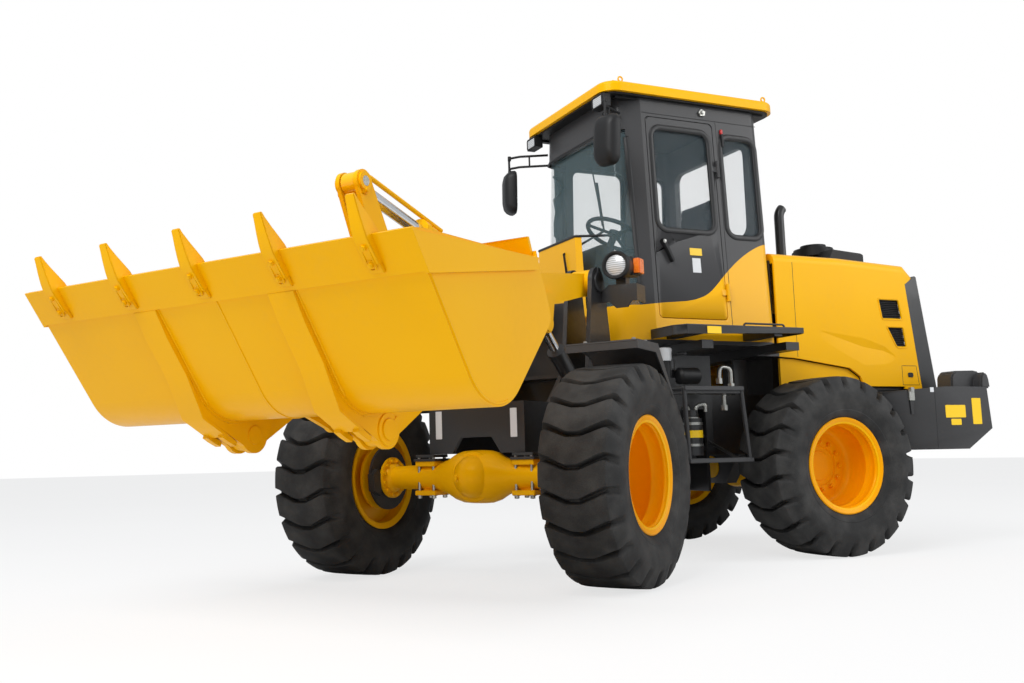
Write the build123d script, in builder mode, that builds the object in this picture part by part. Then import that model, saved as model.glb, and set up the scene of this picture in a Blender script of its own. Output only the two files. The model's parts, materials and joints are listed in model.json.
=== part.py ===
"""Compact articulated wheel loader, in millimetres, +Z up.

The rear half is modelled along X with the articulation pin over the origin, and the front half
the same way, straight ahead. On export the front half is swung about the pin by STEER_REST,
and the whole machine is shifted so that its own origin is the middle of its footprint.
"""
import os
from math import atan2, cos, degrees, hypot, radians, sin, tan

from build123d import *

os.makedirs("parts", exist_ok=True)

# ---- driving dimensions -------------------------------------------------------------------
STEER_REST = 34.3       # the front half stands turned to the left by this many degrees
PIVOT_X = -294.0        # place of the articulation pin in the finished frame
PIVOT_Y = -832.5

TYRE_R = 537.5          # to the lugs' tips
TYRE_W = 410.0
RIM_SEAT_R = 262.0
RIM_FLANGE_R = 282.0
AXLE_FRONT_X = 1235.0
AXLE_REAR_X = -1260.0
WHEEL_Y = 794.0         # half the track
AXLE_Z = TYRE_R

PIN_FIT = 0.06          # radial clearance of a pin in its bore
SEAT_GAP = 0.3          # between curved faces that seat on each other
SIDE_GAP = 5.0          # beside an eye in its clevis
PIN_HEAD = 7.0          # height of a pin's head

# boom, rocker and bucket pins in the front half's side view: x, z
BOOM_PIVOT = (595.0, 1617.0)
BUCKET_PIN = (2609.0, 758.0)
ROCKER_PIN = (2026.0, 1412.0)
ROCKER_TOP = (2280.0, 1900.0)
ROCKER_LOW = (1939.0, 1030.0)
LINK_PIN = (2377.0, 821.0)
TILT_BASE = (620.0, 1490.0)
LIFT_BASE = (380.0, 700.0)
LIFT_PIN = (1160.0, 1330.0)

ARM_Y0 = 330.0          # boom arm, inner face
ARM_Y1 = 385.0          # boom arm, outer face
ARM_Y = (ARM_Y0 + ARM_Y1) / 2
TOWER_IN0 = 270.0       # tower's inner plate
TOWER_IN1 = 295.0
TOWER_OUT0 = 415.0      # tower's outer plate
TOWER_OUT1 = 440.0
PLATE_T = TOWER_IN1 - TOWER_IN0
BOOM_PIN_R = 40.0
LIFT_PIN_R = 32.0
TILT_PIN_R = 34.0

# steering cylinders, plan view: x, y
STEER_Z = 700.0
STEER_FRONT_EYE = (150.0, 260.0)
STEER_REAR_EYE = (-650.0, 330.0)
STEER_PIN_R = 20.0
STEER_EYE_R = 38.0
STEER_GAP = 30.0        # half the space between the two lugs
STEER_LUG_T = 20.0

# bucket in its own frame: origin on the hinge pin, floor level, x to the lip
BUCKET_ROLL = 54.0      # rolled back by this much at rest
BUCKET_HALF = 985.0
BUCKET_FLOOR = -157.0
BUCKET_LIP = 880.0
BUCKET_T = 16.0
HEEL_R = 235.0
BACK_LEAN = 81.0        # angle of the back wall from the floor

# cab
CAB_Z0 = 1290.0
CAB_Z1 = 2850.0
CAB_HALF0 = 568.0       # half width at CAB_Z0
CAB_HALF1 = 496.0       # half width at CAB_Z1
CAB_REAR_X = -1150.0
CAB_CORNER_X = -235.0
CAB_NOSE_X0 = 0.0
CAB_NOSE_HALF0 = 436.0
CAB_NOSE_X1 = -60.0
CAB_NOSE_HALF1 = 398.0
CAB_WALL = 45.0
GLASS_T = 8.0
GLASS_IN = 14.0         # how deep the glass lies in the wall
DOOR_X = (-772.0, -262.0)
DOOR_Z = (1445.0, 2725.0)
PANEL_GAP = 5.0
DOOR_WINDOW = (-735.0, -300.0, 2000.0, 2660.0)
REAR_WINDOW = (-1096.0, -825.0, 1985.0, 2650.0)
ROOF_HALF = 547.0
ROOF_X = (-1278.0, 38.0)
ROOF_T = 66.0

# bonnet and rear end
HOOD_HALF = 530.0
HOOD_T = 15.0
HOOD_FRONT_X = -1180.0
HOOD_TOP_Z = 1908.0
HOOD_HINGE = (-1200.0, 1870.0)
CW_HALF = 870.0


# ---- helpers ------------------------------------------------------------------------------
def side(y):
    """Side-view plane at y, seen from the right: an extrude grows towards smaller y."""
    return Plane.XZ.offset(-y)


def level(z):
    return Plane.XY.offset(z)


def across(x):
    """Plane at x whose local axes are Y and Z, with its normal along +X."""
    return Plane.YZ.offset(x)


def along(start, end):
    """Plane at start whose normal points to end, both being (x, y, z)."""
    return Plane(origin=start, z_dir=Vector(*end) - Vector(*start))


def outline(points):
    """A face with these corners, in the sketch that calls it."""
    Polygon(*points, align=None)


def block(x0, x1, y0, y1, z0, z1, mode=Mode.ADD):
    """A box between these limits, in the part that calls it."""
    with Locations(((x0 + x1) / 2, (y0 + y1) / 2, (z0 + z1) / 2)):
        Box(x1 - x0, y1 - y0, z1 - z0, mode=mode)


def turned(point, degrees_):
    a = radians(degrees_)
    return (point[0] * cos(a) - point[1] * sin(a), point[0] * sin(a) + point[1] * cos(a))


REAR = Location((PIVOT_X, PIVOT_Y, 0))
FRONT = Location((PIVOT_X, PIVOT_Y, 0), (0, 0, STEER_REST))


def save(piece, label, place):
    """Label a finished piece, put it where it stands and write it."""
    solid = piece.moved(place)
    solid.label = label
    export_step(solid, f"parts/{label}.step")


# ---- wheels -------------------------------------------------------------------------------
BEAD_Y = 158.0
TREAD_Y = 168.0
HUB_FACE = -70.0        # wheel disc, inboard of the wheel's middle plane
HUB_R = 105.0
HUB_IN = -150.0         # inboard end of the hub
SPINDLE_R = 50.0
BRAKE_R = 175.0

LUG_COUNT = 22
LUG_H = 38.0
PITCH = 360 / LUG_COUNT
LUG_LEN = TYRE_R * radians(PITCH)       # length of tread that one lug and its groove take
# half width and radius of the tyre's side, from the rim's flange out to the tread
tyre_side = [(BEAD_Y, RIM_FLANGE_R), (TYRE_W / 2 - 12, 345), (TYRE_W / 2, 415), (TYRE_W / 2 - 5, 468),
             (TREAD_Y, TYRE_R)]
# groove between two lugs: share of the half width, then its two edges as shares of LUG_LEN
groove = [(1.05, -0.23, 0.23), (0.76, -0.21, -0.03), (0.0, 0.12, 0.27)]


with BuildPart() as lug_pitch:
    # one pitch of the tyre: a straight run of its section between two radial planes, grooved in the middle
    with BuildSketch(Plane.YZ):
        ring = [(BEAD_Y, RIM_SEAT_R + SEAT_GAP)] + tyre_side
        outline(ring + [(-y, r) for y, r in reversed(ring)])
    extrude(amount=LUG_LEN, both=True)
    for hand in (1, -1):
        end = radians(hand * PITCH / 2)
        radial = Plane(origin=(0, 0, 0), z_dir=(hand * cos(end), 0, -hand * sin(end)))
        split(bisect_by=radial, keep=Keep.BOTTOM)
    front = [(first * LUG_LEN, share * TYRE_W / 2) for share, first, _ in groove]
    back = [(last * LUG_LEN, share * TYRE_W / 2) for share, _, last in groove]
    with BuildSketch(level(TYRE_R - LUG_H)):
        outline(front + [(x, -y) for x, y in front[-2::-1]] + [(x, -y) for x, y in back]
                + back[-2::-1])
    extrude(amount=2 * LUG_H, mode=Mode.SUBTRACT)

with BuildPart() as tyre:
    for i in range(LUG_COUNT):
        add(lug_pitch.part.rotate(Axis.Y, i * PITCH))

with BuildPart() as rim:
    with BuildSketch(Plane.YZ):
        outline([
            (HUB_IN, 0), (HUB_IN, BRAKE_R), (HUB_IN + 16, BRAKE_R), (HUB_IN + 16, HUB_R),
            (HUB_FACE - 16, HUB_R), (HUB_FACE - 16, RIM_SEAT_R - 12), (-BEAD_Y, RIM_SEAT_R - 12),
            (-BEAD_Y - 10, RIM_FLANGE_R), (-BEAD_Y - 0.5, RIM_FLANGE_R), (-BEAD_Y - 0.5, RIM_SEAT_R),
            (BEAD_Y + 0.5, RIM_SEAT_R), (BEAD_Y + 0.5, RIM_FLANGE_R), (BEAD_Y + 10, RIM_FLANGE_R),
            (BEAD_Y, RIM_SEAT_R - 12), (HUB_FACE, RIM_SEAT_R - 12), (HUB_FACE, 0)])
    revolve(axis=Axis.Y)
    with Locations(Plane(origin=(0, HUB_IN, 0), z_dir=(0, 1, 0))):
        Cylinder(SPINDLE_R + PIN_FIT, 60, align=(Align.CENTER, Align.CENTER, Align.MIN), mode=Mode.SUBTRACT)

# name, x of the axle, +1 left or -1 right, half of the machine
WHEELS = [
    ("front_left", AXLE_FRONT_X, 1, FRONT),
    ("front_right", AXLE_FRONT_X, -1, FRONT),
    ("rear_left", AXLE_REAR_X, 1, REAR),
    ("rear_right", AXLE_REAR_X, -1, REAR),
]
for name, x, hand, half in WHEELS:
    for piece, kind in ((tyre, "tyre"), (rim, "rim")):
        solid = piece.part if hand > 0 else piece.part.mirror(Plane.XZ)
        save(solid, f"{kind}_{name}", half * Location((x, hand * WHEEL_Y, AXLE_Z)))

# ---- axles --------------------------------------------------------------------------------
BALL_R = 140.0
PAD_Y = (230.0, 370.0)
PAD_HALF_X = 75.0
PAD_Z = (450.0, 660.0)
HOUSING_END = WHEEL_Y + HUB_IN - SIDE_GAP
SPINDLE_END = WHEEL_Y + HUB_IN + 55


def axle_housing(x):
    """Banjo housing with tapered arms, and a spindle at each end that carries the wheel."""
    with BuildPart() as housing:
        with BuildSketch(Plane.YZ.offset(x)):
            with BuildLine():
                Polyline((0, AXLE_Z), (0, AXLE_Z + BALL_R), (60, AXLE_Z + BALL_R), (170, AXLE_Z + 85),
                         (PAD_Y[0], AXLE_Z + 72), (PAD_Y[1], AXLE_Z + 66), (HOUSING_END - 60, AXLE_Z + 62),
                         (HOUSING_END - 30, AXLE_Z + 120), (HOUSING_END, AXLE_Z + 120),
                         (HOUSING_END, AXLE_Z + SPINDLE_R), (SPINDLE_END, AXLE_Z + SPINDLE_R),
                         (SPINDLE_END, AXLE_Z), (0, AXLE_Z))
            make_face()
        revolve(axis=Axis((x, 0, AXLE_Z), (0, 1, 0)))
        with Locations((x, 0, AXLE_Z)):
            Sphere(BALL_R)
        mirror(about=Plane.XZ)
    return housing.part


with BuildPart() as front_axle:
    add(axle_housing(AXLE_FRONT_X))
    with BuildSketch(across(AXLE_FRONT_X - BALL_R - 60)):
        with Locations((0, AXLE_Z)):
            Circle(70)
    extrude(amount=BALL_R)
    with BuildSketch(across(AXLE_FRONT_X + BALL_R - 30)):
        with Locations((0, AXLE_Z)):
            Circle(85)
    extrude(amount=40)
    with BuildSketch(level(PAD_Z[0])):
        with Locations((AXLE_FRONT_X, sum(PAD_Y) / 2), (AXLE_FRONT_X, -sum(PAD_Y) / 2)):
            Rectangle(2 * PAD_HALF_X, PAD_Y[1] - PAD_Y[0])
    extrude(amount=PAD_Z[1] - PAD_Z[0])
save(front_axle.part, "front_axle", FRONT)

TRUNNION_R = 72.0
TRUNNION_X = (150.0, 250.0)   # from the axle's middle, to front and to rear
with BuildPart() as rear_axle:
    add(axle_housing(AXLE_REAR_X))
    with BuildSketch(across(AXLE_REAR_X - TRUNNION_X[1])):
        with Locations((0, AXLE_Z)):
            Circle(TRUNNION_R)
    extrude(amount=2 * TRUNNION_X[1])
save(rear_axle.part, "rear_axle", REAR)

# ---- front frame --------------------------------------------------------------------------
LUG_UP = (900.0, 940.0)
LUG_LOW = (440.0, 480.0)
FRONT_NOSE_X = 1260.0
FRAME_BACK_X = 200.0
KING_R = 42.0
TOWER_R = 85.0
AXLE_SEAT = PAD_Z[1]

inner_plate = [
    (FRAME_BACK_X, LUG_LOW[0]), (700, LUG_LOW[0]), (960, AXLE_SEAT), (FRONT_NOSE_X, AXLE_SEAT),
    (FRONT_NOSE_X, 925), (960, 925), (760, 1120), (BOOM_PIVOT[0] + TOWER_R, BOOM_PIVOT[1]),
    (BOOM_PIVOT[0] - TOWER_R, BOOM_PIVOT[1]), (420, 1150), (400, LUG_UP[1]), (FRAME_BACK_X, LUG_UP[1])]
outer_plate = [
    (285, 600), (640, 600), (800, 800), (760, 1120), (BOOM_PIVOT[0] + TOWER_R, BOOM_PIVOT[1]),
    (BOOM_PIVOT[0] - TOWER_R, BOOM_PIVOT[1]), (430, 1150), (285, 940)]

with BuildPart() as front_frame:
    for points, face_y, thick in ((inner_plate, TOWER_IN1, PLATE_T), (outer_plate, TOWER_OUT1, PLATE_T)):
        with BuildSketch(side(face_y)):
            outline(points)
            with Locations(BOOM_PIVOT):
                Circle(TOWER_R)
        extrude(amount=thick)
    # webs between the tower's two plates, behind and below the lift cylinder
    for x0, x1, z0, z1 in ((285, 305, 600, 940), (305, 640, 600, 618)):
        with Locations(((x0 + x1) / 2, (TOWER_IN1 + TOWER_OUT0) / 2, (z0 + z1) / 2)):
            Box(x1 - x0, TOWER_OUT0 - TOWER_IN1, z1 - z0)
    # pins: boom pivot and lift cylinder base
    for (x, z), r, y0, y1 in ((BOOM_PIVOT, BOOM_PIN_R, TOWER_IN0 - 10, TOWER_OUT1 + 12),
                              (LIFT_BASE, LIFT_PIN_R, TOWER_IN0, TOWER_OUT1)):
        with BuildSketch(side(y1)):
            with Locations((x, z)):
                Circle(r)
        extrude(amount=y1 - y0)
    mirror(about=Plane.XZ)
    # cross plates between the inner plates
    for x0, x1, z0, z1 in ((FRONT_NOSE_X - 25, FRONT_NOSE_X, AXLE_SEAT, 925), (960, FRONT_NOSE_X, 905, 925),
                           (FRAME_BACK_X, FRAME_BACK_X + 25, LUG_LOW[0], LUG_UP[1]),
                           (440, 465, LUG_UP[1], 1540), (440, 640, 1080, 1100)):
        with Locations(((x0 + x1) / 2, 0, (z0 + z1) / 2)):
            Box(x1 - x0, 2 * TOWER_IN0, z1 - z0)
    # window over the axle's nose
    with BuildSketch(across(FRONT_NOSE_X - 30)):
        outline([(-150, AXLE_SEAT), (150, AXLE_SEAT), (95, 745), (-95, 745)])
    extrude(amount=40, mode=Mode.SUBTRACT)
    # propeller shaft opening in the rear cross plate
    with BuildSketch(across(FRAME_BACK_X - 5)):
        with Locations((0, 640)):
            Circle(110)
    extrude(amount=40, mode=Mode.SUBTRACT)
    # articulation lugs
    for z0, z1 in (LUG_UP, LUG_LOW):
        with BuildSketch(level(z0)):
            outline([(0, -95), (FRAME_BACK_X, -TOWER_IN0), (420, -TOWER_IN0), (420, TOWER_IN0),
                     (FRAME_BACK_X, TOWER_IN0), (0, 95)])
            Circle(95)
            Circle(KING_R + PIN_FIT, mode=Mode.SUBTRACT)
        extrude(amount=z1 - z0)
    # steering eyes: two lugs and a pin each side
    for hand in (1, -1):
        eye = (STEER_FRONT_EYE[0], hand * STEER_FRONT_EYE[1])
        for z0 in (STEER_Z - STEER_GAP - STEER_LUG_T, STEER_Z + STEER_GAP):
            with BuildSketch(level(z0)):
                with Locations(eye):
                    Circle(STEER_EYE_R)
                with Locations(((eye[0] + FRAME_BACK_X) / 2 + 5, eye[1])):
                    Rectangle(FRAME_BACK_X - eye[0] + 10, 76)
            extrude(amount=STEER_LUG_T)
        for z0 in (STEER_Z + STEER_GAP + STEER_LUG_T, STEER_Z - STEER_GAP - STEER_LUG_T - PIN_HEAD):
            with BuildSketch(level(z0)):
                with Locations(eye):
                    Circle(STEER_PIN_R + 8)
            extrude(amount=PIN_HEAD)
    # tilt cylinder bracket
    for y in (65, -40):
        with BuildSketch(side(y)):
            outline([(450, 1300), (TILT_BASE[0] + 20, TILT_BASE[1] - 70), (TILT_BASE[0] + 60, TILT_BASE[1]),
                     (TILT_BASE[0], TILT_BASE[1] + 60), (450, 1520)])
        extrude(amount=25)
    with BuildSketch(side(65)):
        with Locations(TILT_BASE):
            Circle(TILT_PIN_R)
    extrude(amount=130)
save(front_frame.part, "front_frame", FRONT)

# ---- mudguards and headlamps --------------------------------------------------------------
GUARD_Y = (560.0, 945.0)
GUARD_T = 8.0
GUARD_LINE = [(1294, 1190), (1021, 1187), (869, 978), (819, 911)]
GUARD_UNDER = [(829, 907), (877, 974), (1027, 1179), (1294, 1182)]
LIP_UNDER = [(829, 906), (886, 966), (1055, 1142), (1294, 1145)]
GUARD_LIP = 45.0

with BuildPart() as mudguards:
    for y0, y1, under in ((*GUARD_Y, GUARD_UNDER), (GUARD_Y[1] - GUARD_T, GUARD_Y[1], LIP_UNDER)):
        with BuildSketch(side(y1)):
            outline(GUARD_LINE + under)
        extrude(amount=y1 - y0)
    with Locations((GUARD_LINE[0][0] - GUARD_T / 2, sum(GUARD_Y) / 2, GUARD_LINE[0][1] - GUARD_LIP / 2)):
        Box(GUARD_T, GUARD_Y[1] - GUARD_Y[0], GUARD_LIP)
    with BuildSketch(level(GUARD_LINE[1][1] - GUARD_T - 10)):
        outline([(690, TOWER_OUT1), (745, TOWER_OUT1), (1250, 600), (1250, 700), (1060, 700), (1060, 640),
                 (700, 480)])
    extrude(amount=10.5)
    mirror(about=Plane.XZ)
save(mudguards.part, "mudguards", FRONT)

LAMP = (590.0, 552.0, 1702.0)
LAMP_R = 78.0
BRACKET_X = (436.0, 560.0)
with BuildPart() as headlamps:
    with BuildSketch(across(BRACKET_X[1] - 10)):
        outline([(TOWER_OUT1, 1500), (TOWER_OUT1, 1560), (490, 1600), (659, 1591), (659, 1495), (625, 1495),
                 (600, 1462), (530, 1462), (490, 1500)])
    extrude(amount=10)
    with Locations(((BRACKET_X[0] + BRACKET_X[1]) / 2, 575, 1586)):
        Box(BRACKET_X[1] - BRACKET_X[0], 168, 10)
    with Locations(((BRACKET_X[0] + BRACKET_X[1]) / 2, 654, 1543)):
        Box(BRACKET_X[1] - BRACKET_X[0], 10, 96)
    for x0, x1, r in ((560, LAMP[0], LAMP_R), (500, 560, LAMP_R - 8)):
        with BuildSketch(across(x0)):
            with Locations((LAMP[1], LAMP[2])):
                Circle(r)
        extrude(amount=x1 - x0)
    with Locations((460, 558, 1705)):
        Box(90, 118, 110)
    with Locations((455, 630, 1705)):
        Box(70, 30, 96)
    with Locations((500, 552, 1620)):
        Box(60, 60, 80)
    mirror(about=Plane.XZ)
save(headlamps.part, "headlamps", FRONT)

# ---- boom ---------------------------------------------------------------------------------
ARM_TOP = [(595, 1672), (1190, 1592), (1600, 1505), (1800, 1420), (2560, 828)]
ARM_BOTTOM = [(2555, 706), (2100, 965), (1700, 1215), (1500, 1315), (1125, 1425), (595, 1548)]
BOSS_R = 75.0
TIP_R = 66.0
CROSS_TUBE = (1790.0, 1290.0)
CROSS_TUBE_R = 80.0
BRACKET_Y = (68.0, 93.0)
ROCKER_Y = (40.0, 62.0)
ROCKER_PIN_R = 36.0
LIFT_LUG_Y = ((312.0, 330.0), (385.0, 403.0))

with BuildPart() as boom:
    with BuildSketch(side(ARM_Y1)):
        outline(ARM_TOP + [(BUCKET_PIN[0], BUCKET_PIN[1] - TIP_R)] + ARM_BOTTOM)
        for place, r in ((BOOM_PIVOT, BOSS_R), (BUCKET_PIN, TIP_R)):
            with Locations(place):
                Circle(r)
    extrude(amount=ARM_Y1 - ARM_Y0)
    with BuildSketch(side(TOWER_OUT0 - SIDE_GAP)):
        with Locations(BOOM_PIVOT):
            Circle(BOSS_R)
    extrude(amount=TOWER_OUT0 - TOWER_IN1 - 2 * SIDE_GAP)
    for y0, y1 in LIFT_LUG_Y:
        with BuildSketch(side(y1)):
            outline([(1070, 1500), (1250, 1480), (1212, 1330), (1108, 1330)])
            with Locations(LIFT_PIN):
                Circle(55)
        extrude(amount=y1 - y0)
    for y1 in (LIFT_LUG_Y[1][1] + PIN_HEAD, LIFT_LUG_Y[0][0]):
        with BuildSketch(side(y1)):
            with Locations(LIFT_PIN):
                Circle(LIFT_PIN_R + 14)
        extrude(amount=PIN_HEAD)
    with BuildSketch(side(BRACKET_Y[1])):
        outline([(1745, 1356), (1985, 1482), (2080, 1462), (2095, 1385), (2040, 1340), (1840, 1225)])
        with Locations(ROCKER_PIN):
            Circle(80)
    extrude(amount=BRACKET_Y[1] - BRACKET_Y[0])
    mirror(about=Plane.XZ)
    for (x, z), r, half in ((CROSS_TUBE, CROSS_TUBE_R, ARM_Y0),
                            (ROCKER_PIN, ROCKER_PIN_R, BRACKET_Y[1] + 10)):
        with BuildSketch(side(half)):
            with Locations((x, z)):
                Circle(r)
        extrude(amount=2 * half)
    with BuildSketch(side(TOWER_OUT1)):
        with Locations(BOOM_PIVOT):
            Circle(BOOM_PIN_R + PIN_FIT)
    extrude(amount=2 * TOWER_OUT1, mode=Mode.SUBTRACT)
    with BuildSketch(side(TOWER_OUT1)):
        with Locations(BUCKET_PIN):
            Circle(BOOM_PIN_R + PIN_FIT)
    extrude(amount=2 * TOWER_OUT1, mode=Mode.SUBTRACT)
save(boom.part, "boom", FRONT)

# ---- rocker and link ----------------------------------------------------------------------
with BuildPart() as rocker:
    with BuildSketch(side(ROCKER_Y[1])):
        outline([(ROCKER_TOP[0] - 52, ROCKER_TOP[1] + 20), (ROCKER_TOP[0] + 52, ROCKER_TOP[1] - 18),
                 (ROCKER_PIN[0] + 95, ROCKER_PIN[1] + 20), (ROCKER_PIN[0] + 60, ROCKER_PIN[1] - 90),
                 (ROCKER_LOW[0] + 56, ROCKER_LOW[1] - 10), (ROCKER_LOW[0] - 56, ROCKER_LOW[1] + 10),
                 (ROCKER_PIN[0] - 95, ROCKER_PIN[1] - 20)])
        for place, r in ((ROCKER_TOP, 56), (ROCKER_PIN, 84), (ROCKER_LOW, 56)):
            with Locations(place):
                Circle(r)
    extrude(amount=ROCKER_Y[1] - ROCKER_Y[0])
    with BuildSketch(side(ROCKER_Y[1] + 12)):
        with Locations(ROCKER_TOP):
            Circle(44)
    extrude(amount=12)
    mirror(about=Plane.XZ)
    with BuildSketch(side(ROCKER_Y[1])):
        with Locations(ROCKER_PIN):
            Circle(62)
        with Locations(ROCKER_LOW):
            Circle(30)
    extrude(amount=2 * ROCKER_Y[1])
    with BuildSketch(side(ROCKER_Y[1])):
        with Locations(ROCKER_PIN):
            Circle(ROCKER_PIN_R + PIN_FIT)
    extrude(amount=2 * ROCKER_Y[1], mode=Mode.SUBTRACT)
save(rocker.part, "rocker", FRONT)

EYE_HALF = ROCKER_Y[0] - SIDE_GAP
link_len = hypot(LINK_PIN[0] - ROCKER_LOW[0], LINK_PIN[1] - ROCKER_LOW[1])
link_tilt = degrees(atan2(LINK_PIN[1] - ROCKER_LOW[1], LINK_PIN[0] - ROCKER_LOW[0]))
with BuildPart() as bucket_link:
    with BuildSketch(side(EYE_HALF)):
        with Locations((link_len / 2, 0)):
            Rectangle(link_len, 76)
        with Locations((0, 0), (link_len, 0)):
            Circle(52)
        with Locations((0, 0), (link_len, 0)):
            Circle(30 + PIN_FIT, mode=Mode.SUBTRACT)
    extrude(amount=2 * EYE_HALF)
save(bucket_link.part, "bucket_link", FRONT * Location((ROCKER_LOW[0], 0, ROCKER_LOW[1]), (0, -link_tilt, 0)))

# ---- bucket -------------------------------------------------------------------------------
# drawn level, hinge pin at the origin, then rolled back
back_top_z = 520.0
heel_x = 32.0
back_x = heel_x + (back_top_z - BUCKET_FLOOR) / tan(radians(BACK_LEAN))
GUARD_END = (479.0, 591.0)
link_rel = turned((LINK_PIN[0] - BUCKET_PIN[0], LINK_PIN[1] - BUCKET_PIN[1]), -BUCKET_ROLL)
guard_slope = (GUARD_END[1] - back_top_z) / (GUARD_END[0] - back_x)
LUG_Y = ((300.0, 325.0), (390.0, 415.0))
LINK_LUG_Y = (45.0, 70.0)
STRAP_T = 12.0
EDGE_X = 722.0
EDGE_Z = (BUCKET_FLOOR - 10, BUCKET_FLOOR + BUCKET_T)
BUCKET_PLACE = FRONT * Location((BUCKET_PIN[0], 0, BUCKET_PIN[1]), (0, -BUCKET_ROLL, 0))


def bucket_outer():
    """Closed side outline of the bucket, heel and top edge rounded."""
    with BuildSketch(Plane.XY) as face:
        outline([(BUCKET_LIP, BUCKET_FLOOR), (heel_x, BUCKET_FLOOR), (back_x, back_top_z), GUARD_END])
        fillet(face.vertices().sort_by(Axis.X)[0], HEEL_R)
        fillet(face.vertices().filter_by(lambda v: abs(v.Y - back_top_z) < 1), 60)
    return face.sketch


def bucket_inner():
    """The hollow, open at the mouth."""
    with BuildSketch(Plane.XY) as face:
        add(bucket_outer())
        offset(amount=-BUCKET_T)
        top = GUARD_END[1] - BUCKET_T * 1.02
        Polygon((300, BUCKET_FLOOR + BUCKET_T), (1000, BUCKET_FLOOR + BUCKET_T), (1000, top),
                (GUARD_END[0], top), (300, top - (GUARD_END[0] - 300) * guard_slope), align=None)
    return face.sketch


with BuildPart() as bucket:
    with BuildSketch(side(BUCKET_HALF)):
        add(bucket_outer())
    extrude(amount=2 * BUCKET_HALF)
    # straps under the floor and lugs for the boom and the link
    with BuildSketch(side(LUG_Y[1][1] + 5)):
        add(bucket_outer())
        offset(amount=STRAP_T)
        with Locations((EDGE_X - 700, 0)):
            Rectangle(1400, 700, mode=Mode.INTERSECT)
    extrude(amount=LUG_Y[1][1] - LUG_Y[0][0] + 10)
    for y0, y1 in LUG_Y:
        with BuildSketch(side(y1)):
            outline([(-58, 50), (75, 330), (130, 330), (130, -100), (420, BUCKET_FLOOR + 4),
                     (420, BUCKET_FLOOR - STRAP_T), (230, -195), (0, -78)])
            Circle(78)
        extrude(amount=y1 - y0)
    mirror(about=Plane.XZ)
    for y1 in (LINK_LUG_Y[1], -LINK_LUG_Y[0]):
        with BuildSketch(side(y1)):
            outline([(link_rel[0] - 40, link_rel[1] + 45), (110, 420), (150, 420), (110, 30),
                     (link_rel[0] - 20, link_rel[1] - 50)])
            with Locations(link_rel):
                Circle(58)
        extrude(amount=LINK_LUG_Y[1] - LINK_LUG_Y[0])
    # hollow
    with BuildSketch(side(BUCKET_HALF - BUCKET_T)):
        add(bucket_inner())
    extrude(amount=2 * (BUCKET_HALF - BUCKET_T), mode=Mode.SUBTRACT)
    # the guard stands past the side plates' free edge
    for y1 in (BUCKET_HALF + 1, BUCKET_T - BUCKET_HALF):
        with BuildSketch(side(y1)):
            outline([(BUCKET_LIP + 1, BUCKET_FLOOR + BUCKET_T), (400, 556), (405, 568), (600, 700),
                     (1200, 300)])
        extrude(amount=BUCKET_T + 1, mode=Mode.SUBTRACT)
    # cutting edge and side cutters
    with BuildSketch(side(BUCKET_HALF + 15)):
        outline([(EDGE_X, EDGE_Z[1]), (EDGE_X, EDGE_Z[0]), (BUCKET_LIP, EDGE_Z[0]),
                 (BUCKET_LIP, EDGE_Z[0] + 8), (BUCKET_LIP - 26, EDGE_Z[1])])
    extrude(amount=2 * (BUCKET_HALF + 15))
    for y1 in (BUCKET_HALF + 15, -BUCKET_HALF):
        with BuildSketch(side(y1)):
            outline([(BUCKET_LIP - 4, EDGE_Z[0]), (400, 556), (365, 518), (715, EDGE_Z[0])])
        extrude(amount=15)
    # hinge pins
    for y1 in (LUG_Y[1][1] + 10, -LUG_Y[0][0] + 5):
        with BuildSketch(side(y1)):
            Circle(BOOM_PIN_R)
        extrude(amount=LUG_Y[1][1] - LUG_Y[0][0] + 15)
save(bucket.part, "bucket", BUCKET_PLACE)

TOOTH_W = 70.0
TOOTH_Y = [-810, -405, 0, 405, 810]
with BuildPart() as bucket_teeth:
    for y in TOOTH_Y:
        with BuildSketch(side(y + TOOTH_W / 2)):
            outline([(735, EDGE_Z[0]), (745, EDGE_Z[0] - 21), (885, EDGE_Z[0] - 29), (1025, -160),
                     (1025, -148), (890, -118), (780, -121), (775, EDGE_Z[1]), (BUCKET_LIP, EDGE_Z[1]),
                     (BUCKET_LIP, EDGE_Z[0])])
        extrude(amount=TOOTH_W)
save(bucket_teeth.part, "bucket_teeth", BUCKET_PLACE)

# ---- cylinders ----------------------------------------------------------------------------
WALL = 9.0
GLAND = 45.0
ROD_CLEAR = 15.0        # between the gland and the rod's eye when the rod is right in


def shortest(base, pin, pivot, angles):
    """Shortest distance from base to the pin as it turns about the pivot."""
    spans = []
    for angle in angles:
        x, z = turned((pin[0] - pivot[0], pin[1] - pivot[1]), angle)
        spans.append(hypot(pivot[0] + x - base[0], pivot[1] + z - base[1]))
    return min(spans)


def barrel_solid(short, tube_r, rod_r, base_r, eye_r, eye_half, neck):
    """Barrel along +X from its base eye, whose bore lies along Y."""
    end = short - eye_r - ROD_CLEAR
    with BuildPart() as barrel:
        with BuildSketch(across(neck)):
            Circle(tube_r)
        extrude(amount=end - neck)
        with BuildSketch(across(end - GLAND)):
            Circle(tube_r + 4)
        extrude(amount=GLAND)
        with BuildSketch(side(eye_half)):
            Circle(base_r + 20)
            with Locations((neck / 2 + 5, 0)):
                Rectangle(neck + 10, 2 * base_r)
        extrude(amount=2 * eye_half)
        with BuildSketch(across(neck + 15)):
            Circle(tube_r - WALL)
        extrude(amount=end - GLAND - neck - 15, mode=Mode.SUBTRACT)
        with BuildSketch(across(end - GLAND - 5)):
            Circle(rod_r + PIN_FIT)
        extrude(amount=GLAND + 10, mode=Mode.SUBTRACT)
        with BuildSketch(side(eye_half)):
            Circle(base_r + PIN_FIT)
        extrude(amount=2 * eye_half, mode=Mode.SUBTRACT)
    return barrel.part


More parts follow.
